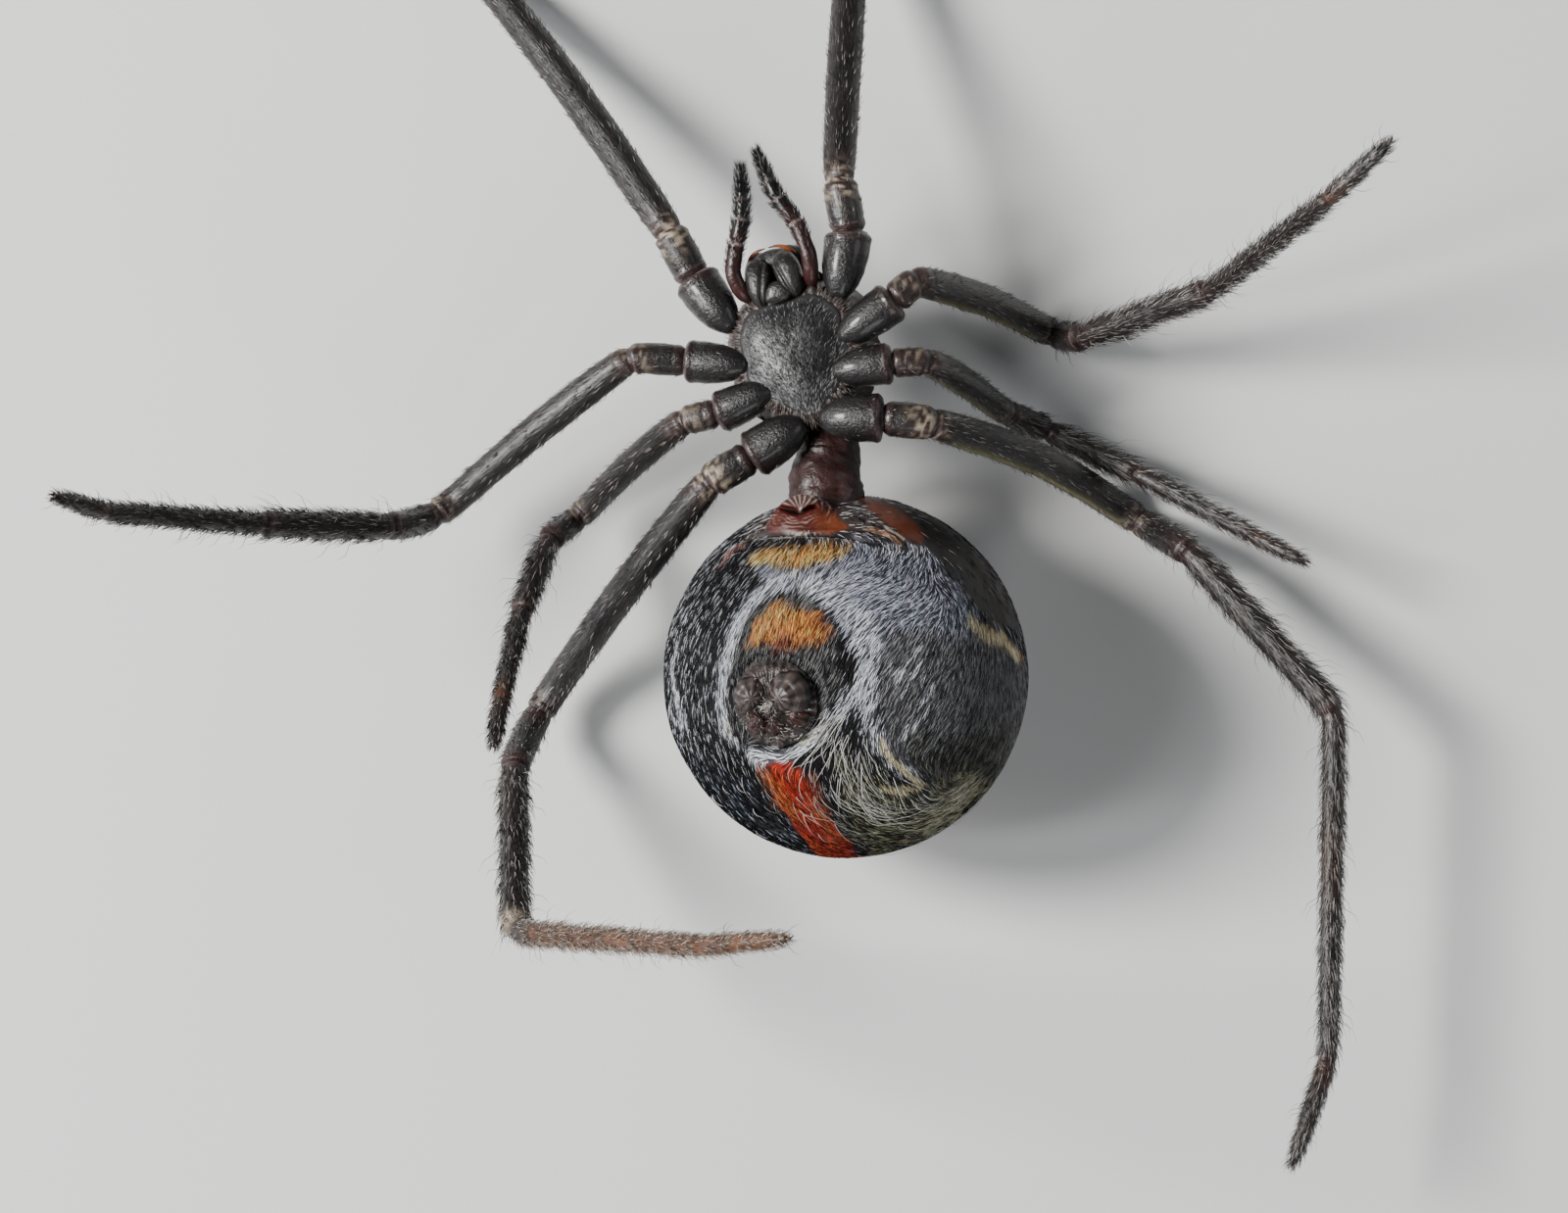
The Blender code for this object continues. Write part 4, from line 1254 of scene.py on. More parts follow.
# areas and strokes, laid over each other in this order: tone, places, then the edge's softness and the
# strength;
# a stroke has its half width at the start and at the end before those two
markings = (
    ("speckled", ((-3.6, 1.3), (-2.7, 1.7), (-2.0, 1.7), (-2.1, 1.0), (-2.4, -1.2), (-1.9, -1.9),
     (-3.0, -2.2), (-3.9, 0.0)), 0.5, 1.0),
    ("blueBlack", ((-3.1, -1.6), (-1.9, -2.0), (-1.4, -2.6), (-0.6, -3.7), (-2.2, -3.3), (-3.4, -2.2)), 0.4,
     1.0),
    ("flank", ((0.70, 0.9), (1.9, 1.4), (2.9, 1.1), (3.6, 0.5), (3.8, -1.0), (3.0, -2.3), (1.9, -2.2),
     (1.1, -1.7), (0.75, -0.6)), 0.25, 1.0),
    ("greenBlack", ((1.0, -1.35), (2.2, -1.2), (3.5, -0.9), (3.2, -2.0), (2.2, -2.3), (1.5, -2.0)), 0.6, 0.8),
    ("olive", ((-0.2, -1.6), (0.5, -1.7), (1.2, -2.3), (2.6, -1.9), (2.9, -2.4), (1.6, -3.4), (0.4, -3.7),
     (-0.1, -2.9)), 0.35, 1.0),
    ("cream", ((1.2, -3.2), (1.8, -2.6), (2.35, -2.0), (2.75, -2.2), (2.2, -2.9), (1.5, -3.3)), 0.40, 0.85),
    ("mauve", ((-2.0, 2.72), (-1.5, 2.98), (-0.9, 2.90), (0.1, 2.90), (0.9, 2.72), (0.75, 3.1), (0.45, 3.5),
     (0.2, 3.9), (-1.6, 3.9)), 0.15, 0.85),
    ("glossBrown", ((0.10, 3.75), (0.55, 3.20), (0.95, 2.72), (1.55, 2.62), (1.80, 2.38), (2.10, 1.98),
     (2.48, 1.56), (2.95, 1.18), (3.42, 0.98), (3.9, 1.2), (3.2, 2.9), (1.4, 3.9)), 0.08, 1.0),
    ("lungBrown", ((0.22, 3.72), (0.62, 3.62), (1.08, 3.38), (1.42, 3.08), (1.60, 2.78), (1.45, 2.70),
     (1.10, 2.84), (0.70, 3.14), (0.38, 3.42)), 0.09, 1.0),
    ("lavender", ((-1.82, 2.31), (-1.01, 2.25), (0.1, 2.74), (0.98, 2.68), (1.72, 2.46), (2.13, 2.06),
     (2.48, 1.6), (2.73, 1.15), (2.37, 0.85), (1.81, 1.0), (1.25, 1.05), (0.85, 0.80), (0.7, 0.35),
     (0.4, 0.70), (-0.1, 0.95), (-0.31, 1.25), (-0.55, 1.75), (-1.01, 1.80), (-1.51, 1.75)), 0.20, 0.95),
    ("lungEdge", ((0.42, 2.98), (0.70, 2.90), (0.95, 2.78), (1.10, 2.66)), 0.05, 0.05, 0.10, 0.9),
    ("white", ((0.72, 2.62), (1.00, 2.56), (1.28, 2.58), (1.56, 2.62)), 0.09, 0.05, 0.12, 0.95),
    ("white", ((-1.01, 2.15), (-1.45, 1.92), (-1.82, 1.58), (-2.12, 1.15), (-2.32, 0.7), (-2.45, 0.24),
     (-2.51, -0.26), (-2.51, -0.72), (-2.45, -1.10)), 0.22, 0.10, 0.16, 1.0),
    ("white", ((-0.75, 1.95), (-0.2, 1.62), (0.25, 1.20), (0.45, 0.65), (0.42, 0.15), (0.42, -0.36),
     (0.50, -0.85), (0.70, -1.30), (1.0, -1.72), (1.35, -2.02)), 0.24, 0.12, 0.20, 0.95),
    ("white", ((0.42, 1.1), (0.50, 0.4), (0.48, -0.4)), 0.30, 0.24, 0.14, 0.7),
    ("white", ((-0.5, 2.15), (0.3, 2.0), (1.0, 1.75)), 0.16, 0.10, 0.35, 0.5),
    ("white", ((0.37, -0.05), (0.14, -0.36), (-0.16, -0.71), (-0.51, -1.06)), 0.20, 0.16, 0.18, 0.75),
    ("white", ((-0.51, -1.06), (-0.86, -1.41), (-1.31, -1.62), (-1.77, -1.62), (-2.12, -1.40),
     (-2.42, -1.10)), 0.17, 0.09, 0.12, 0.9),
    ("cream", ((-0.40, -0.95), (-0.62, -1.12), (-0.90, -1.28)), 0.07, 0.05, 0.10, 0.8),
    ("cream", ((-2.40, -0.95), (-2.38, -1.12)), 0.05, 0.05, 0.08, 0.8),
    ("flank", ((0.74, 0.55), (1.2, 0.7), (1.3, -1.7), (0.92, -1.50), (0.80, -1.05), (0.72, -0.5)), 0.05, 1.0),
    ("zone", ((-2.12, 0.95), (-1.86, 1.45), (-1.21, 1.72), (-0.61, 1.55), (-0.10, 1.02), (-0.20, 0.55),
     (-0.31, 0.35), (-0.05, 0.10), (-0.15, -0.36), (-0.40, -0.76), (-0.75, -1.06), (-1.21, -1.34),
     (-1.88, -1.34), (-2.30, -0.97), (-2.38, -0.46), (-2.28, 0.24)), 0.09, 1.0),
    ("orange", ((-1.98, 0.75), (-1.89, 1.05), (-1.71, 1.3), (-1.54, 1.45), (-1.31, 1.56), (-1.16, 1.45),
     (-0.91, 1.50), (-0.66, 1.4), (-0.41, 1.15), (-0.28, 1.0), (-0.51, 0.75), (-0.81, 0.75), (-1.11, 0.65),
     (-1.46, 0.7), (-1.71, 0.72)), 0.10, 1.0),
    ("yellow", ((-1.75, 1.02), (-1.55, 1.28), (-1.2, 1.38)), 0.10, 0.08, 0.25, 0.6),
    ("rust", ((-0.50, 1.20), (-0.40, 0.95), (-0.7, 0.80), (-1.3, 0.80)), 0.06, 0.06, 0.25, 0.55),
    ("zone", ((-1.21, 1.62), (-1.10, 1.80), (-0.85, 1.82), (-0.55, 1.60), (-0.56, 1.42), (-0.76, 1.36),
     (-1.01, 1.45)), 0.05, 1.0),
    ("rust", ((-1.66, 0.78), (-1.41, 0.87), (-1.01, 0.82), (-1.02, 0.58), (-1.46, 0.60)), 0.12, 0.8),
    ("yellow", ((-1.95, 2.52), (-1.51, 2.64), (-1.01, 2.68), (-0.4, 2.68), (0.10, 2.67), (0.05, 2.52),
     (-0.4, 2.38), (-1.01, 2.22), (-1.46, 2.31), (-1.85, 2.36)), 0.10, 1.0),
    ("orange", ((-1.1, 2.62), (-0.3, 2.62), (-0.3, 2.45), (-1.0, 2.36)), 0.20, 0.7),
    ("red", ((-1.18, -2.08), (-0.98, -2.50), (-0.72, -2.95), (-0.42, -3.35), (-0.12, -3.66, -0.3),
     (0.12, -3.35, -1.5), medianPlace(226), medianPlace(250), medianPlace(275)), 0.46, 0.34, 0.05, 1.0),
    ("red", (medianPlace(222), medianPlace(240)), 0.52, 0.50, 0.08, 1.0),
    ("red", (medianPlace(290), medianPlace(300)), 0.20, 0.14, 0.08, 0.9),
    ("scarlet", ((-1.60, -2.00), (-1.36, -2.38), (-1.16, -2.75)), 0.13, 0.04, 0.30, 0.85),
    ("scarlet", ((-0.62, -2.60), (-0.45, -2.95), (-0.30, -3.25)), 0.06, 0.05, 0.30, 0.6),
    ("rust", ((-0.72, -1.98), (-0.52, -2.40), (-0.40, -2.75)), 0.12, 0.05, 0.12, 0.8),
    ("creamBar", ((0.72, -2.24), (1.05, -2.26), (1.36, -2.22)), 0.085, 0.07, 0.04, 1.0),
    ("creamBar", ((0.72, -1.30), (0.86, -1.56), (1.15, -1.88), (1.52, -2.18)), 0.08, 0.06, 0.06, 0.95),
    ("white", ((1.55, -2.45),), 0.15, 0.15, 0.22, 0.6),
    ("creamBar", ((2.53, 1.16), (2.78, 0.98), (3.20, 0.78), (3.48, 0.54)), 0.13, 0.13, 0.07, 1.0),
    ("orange", ((3.56, 0.50),), 0.07, 0.07, 0.10, 0.7),
    ("white", ((-3.40, 0.75), (-3.53, 0.13), (-3.45, -0.38), (-3.30, -0.85)), 0.08, 0.15, 0.14, 0.9),
    ("white", ((-3.62, -0.55), (-3.40, -0.90)), 0.08, 0.06, 0.08, 0.9),
    ("paleLine", ((-2.05, -0.16), (-1.88, 0.0), (-1.56, 0.07), (-1.11, 0.06), (-0.83, -0.06)), 0.015, 0.015,
     0.03, 0.7),
    ("paleLine", ((-2.42, 2.42), (-2.12, 2.66), (-1.82, 2.76), (-1.31, 2.79), (-0.81, 2.80), (-0.3, 2.79),
     (0.1, 2.74)), 0.018, 0.02, 0.03, 0.7),
    ("paleLine", ((0.30, 3.40), (0.55, 3.18), (0.85, 2.95), (1.15, 2.76)), 0.012, 0.015, 0.03, 0.8),
    ("paleLine", ((-1.70, 3.02), (-1.30, 2.92), (-0.80, 2.90)), 0.02, 0.02, 0.04, 0.6),
    ("rust", ((-2.48, 2.30), (-2.25, 2.52), (-1.98, 2.66)), 0.05, 0.04, 0.06, 0.8),
)
speckles = (
    (1.50, 0.62, 0.22), (1.35, 0.45, 0.30), (1.20, 0.22, 0.34), (1.40, 0.14, 0.20), (1.07, -0.01, 0.24),
    (1.61, 0.09, 0.22), (1.20, -0.21, 0.26), (1.71, -0.21, 0.26), (1.53, -0.46, 0.24), (1.66, -0.61, 0.20),
    (1.45, -0.86, 0.24), (1.25, -1.01, 0.22), (0.92, 0.30, 0.18), (1.02, 0.12, 0.14), (1.48, 0.30, 0.26),
)
# how the hair lies: place on the belly side, then direction
flows = (
    (-0.95, 2.30, 0.0, -1.0), (-1.60, 1.85, -0.55, -0.85), (-2.00, 1.30, -0.40, -0.92),
    (-2.36, 0.7, -0.20, -0.98), (-2.56, -0.2, 0.02, -1.0), (-2.40, -1.2, 0.45, -0.9),
    (-3.26, 0.6, -0.05, -1.0), (-3.30, -0.8, 0.15, -1.0), (-2.8, 1.6, -0.15, -1.0), (-2.7, -2.0, 0.5, -0.87),
    (-1.9, -2.6, 0.6, -0.8), (-1.66, -1.9, 0.5, -0.87), (-1.2, -2.5, 0.35, -0.93), (-0.6, -3.0, 0.5, -0.87),
    (-1.1, -3.4, 0.6, -0.75), (-0.15, -1.6, 0.05, -1.0), (0.0, -2.0, 0.2, -0.98), (0.25, -2.7, 0.6, -0.8),
    (0.7, -3.1, 0.85, -0.45), (1.5, -3.1, 0.97, 0.2), (2.2, -2.6, 0.8, 0.6), (2.6, -2.2, 0.7, 0.7),
    (0.8, -2.2, 0.5, -0.85), (0.6, -1.6, 0.25, -0.97), (3.4, -1.2, -0.35, -0.93), (3.5, 0.1, -0.05, -1.0),
    (2.7, -1.4, -0.6, -0.8), (2.2, -0.8, -0.6, -0.8), (1.6, -1.2, -0.65, -0.75), (1.14, -0.6, -0.55, -0.83),
    (1.9, 0.2, -0.6, -0.8), (2.8, 0.2, -0.45, -0.9), (1.2, 0.6, -0.65, -0.76), (0.45, -0.4, -0.35, -0.94),
    (0.50, 0.4, -0.50, -0.86), (0.35, 1.1, -0.65, -0.76), (0.9, 1.5, -0.85, -0.52), (1.6, 1.5, -0.80, -0.60),
    (2.4, 1.3, -0.2, -0.98), (2.1, 1.8, 0.5, -0.87), (1.3, 2.3, -0.5, -0.87), (0.3, 1.9, -0.85, -0.5),
    (-0.2, 2.3, -0.4, -0.9), (-0.35, 1.6, -0.80, -0.6), (-1.1, 1.2, -0.05, -1.0), (-0.4, 0.7, -0.35, -0.93),
    (-1.7, 0.9, -0.05, -1.0), (-0.2, -0.7, -0.6, -0.8), (-0.8, -1.3, -0.8, -0.6), (-1.6, -1.55, -0.9, 0.1),
    (3.1, 1.7, 0.35, -0.93), (2.3, 2.6, 0.3, -0.95), (-0.9, 3.4, 0.0, -1.0), (1.1, 3.2, 0.7, -0.7),
    (-2.1, 2.6, -0.3, -0.95), (1.25, -2.0, 0.6, -0.8), (0.15, 3.40, 0.65, -0.75), (0.50, 3.10, 0.78, -0.60),
    (0.10, 3.05, 0.8, -0.5), (-1.6, 3.0, -0.7, -0.6),
)
flowMarks = np.array([tuple(onBelly(x, y)) for x, y, _, _ in flows])
flowWays = np.array([(dx, dy, 0.0) for _, _, dx, dy in flows])
flowWays = unitRows(levelled(flowWays, unitRows(flowMarks)))


def flowAt(points):
    # direction in which the hair lies at places about the centre
    flow = np.empty_like(points)
    home = np.array(belly["spinneret"]) - np.array(belly["pedicel"])
    batch = 20000
    for start in range(0, len(points), batch):
        some = points[start:start + batch]
        apart = np.linalg.norm(some[:, None, :] - flowMarks[None, :, :], axis=2)
        weight = 1 / (apart + 0.10) ** 3.5
        way = np.einsum("nf,fd->nd", weight, flowWays) / weight.sum(axis=1)[:, None]
        hidden = smoothStep(0.5, -0.6, some[:, 2])[:, None]
        way = way * (1 - hidden) + home * hidden
        flow[start:start + batch] = unitRows(levelled(way, unitRows(some)))
    return flow


def fromSpinnerets(points):
    return np.linalg.norm(points - np.array(belly["spinneret"]) * belly["radius"], axis=1)


def bellyLooks(points):
    # skin tone, hair tone, share of toned hairs and gloss at places about the centre
    def row(tone):
        skin, hair, share, gloss = bellyTones[tone]
        return np.array((*skin, *hair, share, gloss))

    looks = np.tile(row("black"), (len(points), 1))
    wobble = noiseAt(points, 2.6, 1.0) * 0.55 + noiseAt(points, 7.5, 4.0) * 0.45
    for tone, places, *numbers in markings:
        if len(numbers) == 2:
            soft, strength = numbers
            away = areaDistance(points, places)
            mask = strength * (1 - smoothStep(-soft * 0.7, soft * 0.7, away + wobble * soft * 1.1))
        else:
            start, end, soft, strength = numbers
            away, along = strokeDistance(points, places)
            half = start + (end - start) * along
            edge = away + wobble * soft * 1.1
            mask = strength * (1 - smoothStep(half - soft * 0.6, half + soft * 0.7, edge))
        looks = blendTo(looks, row(tone), mask)
    for x, y, length in speckles:
        right, up = 0.25 * length, 0.43 * length
        away, _ = strokeDistance(points, ((x - right, y - up), (x + right, y + up)))
        looks = blendTo(looks, row("white"), 0.95 * (1 - smoothStep(0.012, 0.055, away + wobble * 0.05)))
    return blendTo(looks, row("ring"), 1 - smoothStep(0.80, 0.94, fromSpinnerets(points)))


frontPlate = {
    # its outline, its opening and the small tooth over it, as the belly side shows them
    "outline": (
        (-1.66, 3.30), (-1.58, 3.48), (-1.40, 3.62), (-1.15, 3.72), (-0.85, 3.74), (-0.58, 3.68),
        (-0.38, 3.56), (-0.26, 3.40), (-0.18, 3.22), (0.00, 3.08), (0.02, 2.98), (-0.30, 2.93), (-0.60, 2.91),
        (-1.00, 2.93), (-1.35, 3.00), (-1.56, 3.12),
    ),
    "opening": (
        (-1.46, 3.46), (-1.36, 3.51), (-1.22, 3.48), (-1.05, 3.45), (-0.93, 3.395), (-0.82, 3.45),
        (-0.72, 3.50), (-0.60, 3.50), (-0.53, 3.42), (-0.62, 3.37), (-0.72, 3.34), (-0.85, 3.27),
        (-0.98, 3.235), (-1.12, 3.26), (-1.28, 3.33), (-1.42, 3.40),
    ),
    "tooth": (-0.925, 3.40),
    "toothRise": 0.06,
    "depth": 0.22,
    "size": (0.80, 0.46, 0.95),
    "skin": (0.065, 0.013, 0.009),
    "tail": (0.20, 0.050, 0.018),
    "ridge": (0.40, 0.27, 0.23),
    "lip": (0.055, 0.026, 0.022),
    "ray": (0.42, 0.34, 0.31),
    "edge": (0.48, 0.42, 0.38),
    "inside": (0.10, 0.010, 0.006),
    # near black: the painted shade deep inside the opening
    "hollowShade": (0.007, 0.001, 0.0008),
    "toothSkin": (0.62, 0.52, 0.48),
}


def plateTurn():
    # frame of the front plate: along it, over it towards the back, and out of it
    out = onBelly(*belly["frontPlate"]).normalized()
    along = Vector((1, 0.05, 0))
    side = (along - out * along.dot(out)).normalized()
    return np.array((side, out.cross(side), out))


plateAxes = plateTurn()


def plateShape(points):
    # place on the front plate (round it and over its crest) and its height
    local = (points - np.array(onBelly(*belly["frontPlate"]))) @ plateAxes.T
    across, over = local[:, 0], local[:, 1] + 0.24
    wide, below, above = frontPlate["size"]
    away = np.hypot(across / wide, over / np.where(over < 0, below, above))
    crest = 0.11 * bellAt(over, 0.30, 0.22) * (1 - smoothStep(0.45, 1.0, away))
    mound = (0.24 * (1 - smoothStep(0.30, 1.08, away)) + crest) * (1 + 0.16 * noiseAt(points, 2.0, 3.0))
    ridges = 0.010 * np.cos(away * 40 + 2.2 * noiseAt(points, 2.4, 6.0)) * bellAt(away, 0.70, 0.30)
    return away, over, mound + ridges


def plateLooks(points, shown, skin, gloss):
    # tones of the front plate, with painted shade deep in its opening, and how deep its opening is sunk;
    # shown holds the places of the raised skin
    away, over, _ = plateShape(points)
    near = areaDistance(shown, frontPlate["outline"]) + 0.04 * noiseAt(points, 5.0)
    gap = areaDistance(shown, frontPlate["opening"])
    onFront = points[:, 1] > 1.5
    facing = onFront * (1 - smoothStep(0.36, 0.52, over))
    onPlate = np.maximum(onFront * (1 - smoothStep(0.86, 1.0, away)),
                         facing * (1 - smoothStep(-0.04, 0.04, near)))
    tail = smoothStep(-0.85, -0.30, shown[:, 0]) * (1 - smoothStep(3.25, 3.45, shown[:, 1]))
    ridge = np.clip(np.cos(gap * 80 + 6.0 * noiseAt(points, 4.5, 6.0)), 0, 1) ** 2
    ridge *= smoothStep(-0.35, 0.25, noiseAt(points, 6.0, 2.0))
    across = shown[:, 0] - frontPlate["tooth"][0]
    above = shown[:, 1] - frontPlate["tooth"][1] + frontPlate["toothRise"]
    turn = np.arctan2(above, across)
    lip = (facing * smoothStep(0.30, 0.55, np.sin(turn)) * smoothStep(0.0, 0.03, gap)
           * (np.hypot(across, above) < 0.5))
    rays = np.clip(np.cos(turn * 19 + 1.5 * noiseAt(points, 4.0, 2.0)), 0, 1)
    inside = facing * (1 - smoothStep(-0.012, 0.012, gap))
    # painted shade: near black deep inside the opening, where it is sunk
    hollowShade = facing * smoothStep(-0.015, -0.06, gap)
    tooth = facing * bellAt(np.hypot(across, (above - frontPlate["toothRise"]) * 0.8), 0.0, 0.030)
    masks = {"skin": onPlate, "tail": 0.8 * onPlate * tail,
             "ridge": 0.62 * onPlate * facing * ridge * bellAt(gap, 0.13, 0.17), "lip": 0.85 * lip,
             "ray": 0.7 * lip * rays, "edge": 0.6 * facing * bellAt(near, -0.03, 0.018) * (shown[:, 1] > 3.4),
             "inside": 0.92 * inside, "hollowShade": hollowShade * (1 - 0.5 * bellAt(shown[:, 0], -1.36, 0.10)),
             "toothSkin": 0.9 * tooth}
    for tone, mask in masks.items():
        skin = blendTo(skin, frontPlate[tone], mask)
    gloss = np.maximum(gloss, onPlate * 0.45) * (1 - inside) - 0.8 * hollowShade
    return skin, gloss, frontPlate["depth"] * facing * smoothStep(0.01, -0.07, gap)


# folds of the skin: places, depth and width; low bulges: places and width
bellyFolds = (
    (((-2.45, 2.46), (-2.12, 2.72), (-1.82, 2.81), (-0.81, 2.86), (0.1, 2.80), (0.51, 2.68), (0.96, 2.60)),
     0.09, 0.05),
    (((0.20, 3.25), (0.65, 3.02), (1.05, 2.80), (1.27, 2.62)), 0.05, 0.04),
    (((0.10, 3.30), (0.45, 3.05), (0.80, 2.85)), 0.03, 0.03),
    (((-2.6, 2.2), (-2.3, 2.45), (-2.0, 2.58)), 0.04, 0.04),
)
bellyBulges = (((1.15, 3.05), 0.50), ((-2.15, 2.62), 0.35))


def bellyRelief(points):
    # height of the skin over the ball
    height = 0.018 * noiseAt(points, 1.1, 8.0) + 0.007 * noiseAt(points, 4.0, 2.0)
    height += plateShape(points)[2] * (points[:, 1] > 1.5)
    for places, depth, wide in bellyFolds:
        away, _ = strokeDistance(points, places)
        height += -depth * bellAt(away, 0, wide) + depth * 0.45 * bellAt(away, wide * 2.6, wide * 1.6)
    for place, wide in bellyBulges:
        away, _ = strokeDistance(points, (place,))
        height += 0.05 * np.exp(-(away / wide) ** 4)
    ring = fromSpinnerets(points)
    folds = 0.012 * np.cos(ring * 60) * bellAt(ring, 0.9, 0.2)
    return height + (-0.06 * bellAt(ring, 0.96, 0.07) + 0.04 * bellAt(ring, 1.12, 0.09) + folds)


def refineNear(item, centre, reach, cuts):
    # more faces round a place about the centre of the abdomen
    points = verticesOf(item)
    chosen = np.linalg.norm(points - np.array(centre), axis=1) < reach
    chooseOnly(item)
    bpy.ops.object.mode_set(mode="EDIT")
    bpy.ops.mesh.select_all(action="DESELECT")
    bpy.ops.object.mode_set(mode="OBJECT")
    polygons = item.data.polygons
    corner = np.empty(len(polygons) * 3, dtype=np.int64)
    polygons.foreach_get("vertices", corner)
    polygons.foreach_set("select", chosen[corner.reshape(-1, 3)].all(axis=1))
    bpy.ops.object.mode_set(mode="EDIT")
    bpy.ops.mesh.select_mode(type="FACE")
    bpy.ops.mesh.subdivide(number_cuts=cuts)
    bpy.ops.mesh.select_all(action="SELECT")
    bpy.ops.mesh.quads_convert_to_tris()
    bpy.ops.object.mode_set(mode="OBJECT")


def addAbdomen():
    item = addBall(7)
    moveVertices(item, verticesOf(item) * belly["radius"])
    for centre, reach, cuts in ((onBelly(*belly["frontPlate"]), 1.05, 3), (onBelly(0.9, 2.9), 0.60, 1),
                                (belly["spinneret"] * belly["radius"], 1.15, 1)):
        refineNear(item, centre, reach, cuts)
    out = unitRows(verticesOf(item))
    points = out * belly["radius"]
    looks = bellyLooks(points)
    shown = out * (belly["radius"] + bellyRelief(points))[:, None]
    skin, gloss, sunk = plateLooks(points, shown, looks[:, :3], looks[:, 7])
    world = shown + np.array(bellyCentre)
    world[:, 2] -= sunk
    world[:, 2] = np.maximum(world[:, 2], 0.0)
    moveVertices(item, world)
    giveTint(item, skin)
    giveMeasure(item, "gloss", gloss)
    print("abdomen faces", len(item.data.polygons))
    finishPiece(item, "abdomenSkin", "belly", "abdomen_black", "abdomen")


bellyHairs = {
    "count": 78000,
    "pieces": 4,
    "length": (0.16, 0.29),
    "width": 0.0084,
    # height of the three knots over the skin, and how far the spinnerets and the pedicel keep the hairs off
    "lifts": (-0.006, 0.020, 0.030),
    "offSpinnerets": 0.86,
    "offPedicel": 0.975,
    "fleck": (0.80, 0.24, 0.07),
}


def surfacePaths(points, lengths, knots, lifts, bend=0.0):
    # hairs that follow the lie over the skin; each knot has its own lift
    steps = []
    place = points.copy()
    for knot in range(knots):
        out = unitRows(place)
        place = out * belly["radius"]
        steps.append((place, out))
        if knot < knots - 1:
            flow = flowAt(place)
            if np.any(bend):
                flow = flow + np.cross(out, flow) * np.asarray(bend)[:, None]
            place = place + flow * (lengths / (knots - 1))[:, None]
    flat = np.concatenate([place for place, _ in steps])
    relief = bellyRelief(flat).reshape(knots, -1)
    paths = [out * (belly["radius"] + relief[knot] + lifts[knot])[:, None]
             for knot, (_, out) in enumerate(steps)]
    return np.stack(paths, axis=1) + np.array(bellyCentre)


def unwrapSpots(points):
    out = unitRows(points)
    longitude = np.arctan2(out[:, 1], out[:, 0]) / (2 * math.pi) + 0.5
    latitude = np.arccos(np.clip(out[:, 2], -1, 1)) / math.pi
    return 0.02 + 0.96 * np.stack([longitude, latitude], axis=1)


def addBellyHair():
    draw = np.random.default_rng(12)
    out = unitRows(draw.normal(size=(bellyHairs["count"], 3)))
    chance = draw.random(len(out))
    keep = ((out[:, 2] > -0.25) | (chance < 0.55)) & (out[:, 2] > -0.93)
    spinneret = np.array(belly["spinneret"])
    keep &= np.linalg.norm(out - spinneret, axis=1) * belly["radius"] > bellyHairs["offSpinnerets"]
    keep &= out @ np.array(belly["pedicel"]) < bellyHairs["offPedicel"]
    points = out[keep] * belly["radius"]
    away = plateShape(points)[0]
    looks = bellyLooks(points)
    onTail = (areaDistance(points, frontPlate["outline"]) < 0.02) & (points[:, 0] > -0.5)
    bare = (((away < 0.97) | onTail) & (points[:, 1] > 1.5)) | (draw.random(len(points)) < looks[:, 7] * 0.94)
    points, looks = points[~bare], looks[~bare]
    count = len(points)
    toned = draw.random(count) < looks[:, 6]
    strength = draw.uniform(0.55, 1.20, count)[:, None]
    colours = np.where(toned[:, None], looks[:, 3:6], looks[:, :3] * 0.40 + 0.002) * strength
    vivid = 1 - colours.min(axis=1) / colours.max(axis=1)
    warmer = np.exp(draw.normal(scale=0.34, size=count) * vivid)
    colours[:, 1:] *= warmer[:, None]
    # orange flecks in the red stripe
    fleck = toned & (vivid > 0.88) & (draw.random(count) < 0.13 + 0.45 * noiseAt(points, 2.2, 9.0))
    colours = np.where(fleck[:, None], np.array(bellyHairs["fleck"]) * strength, colours)
    points = points + draw.normal(scale=0.012, size=(count, 3))
    lengths = draw.uniform(*bellyHairs["length"], count)
    bend = draw.normal(scale=0.12, size=count)
    lift = draw.uniform(0.5, 1.3, count)
    root, middle, tip = bellyHairs["lifts"]
    paths = surfacePaths(points, lengths, 3, (np.full(count, root), middle * lift, tip * lift), bend)
    outs = unitRows(points)
    spots = unwrapSpots(points)
    widths = bellyHairs["width"] * draw.uniform(0.8, 1.25, count)
    share = math.ceil(count / bellyHairs["pieces"])
    for piece in range(bellyHairs["pieces"]):
        part = slice(piece * share, (piece + 1) * share)
        growHairs(f"bellyHair{piece + 1}", "down", "abdomen_black", paths[part], outs[part], widths[part],
                  colours[part], spots[part])


# long pale hairs, swept round behind the red stripe, across it, and a few elsewhere
strands = {
    # place, width, height, count and lengths of each field
    "fields": (((0.05, -1.6), 0.55, 0.80, 46, (0.5, 1.5)), ((0.40, -2.6), 0.75, 0.65, 44, (0.5, 1.4)),
               ((-0.85, -2.5), 0.38, 0.60, 16, (0.4, 0.9)), ((-2.2, -2.2), 0.9, 0.6, 14, (0.25, 0.6)),
               ((-0.5, -1.0), 0.50, 0.40, 40, (0.3, 0.8)), ((1.7, -2.6), 0.6, 0.35, 30, (0.4, 0.8))),
    "knots": (0.17, 0.33, 0.5, 0.67, 0.83, 1.0),
    "lift": 0.045,
    "width": (0.0045, 0.0078),
}


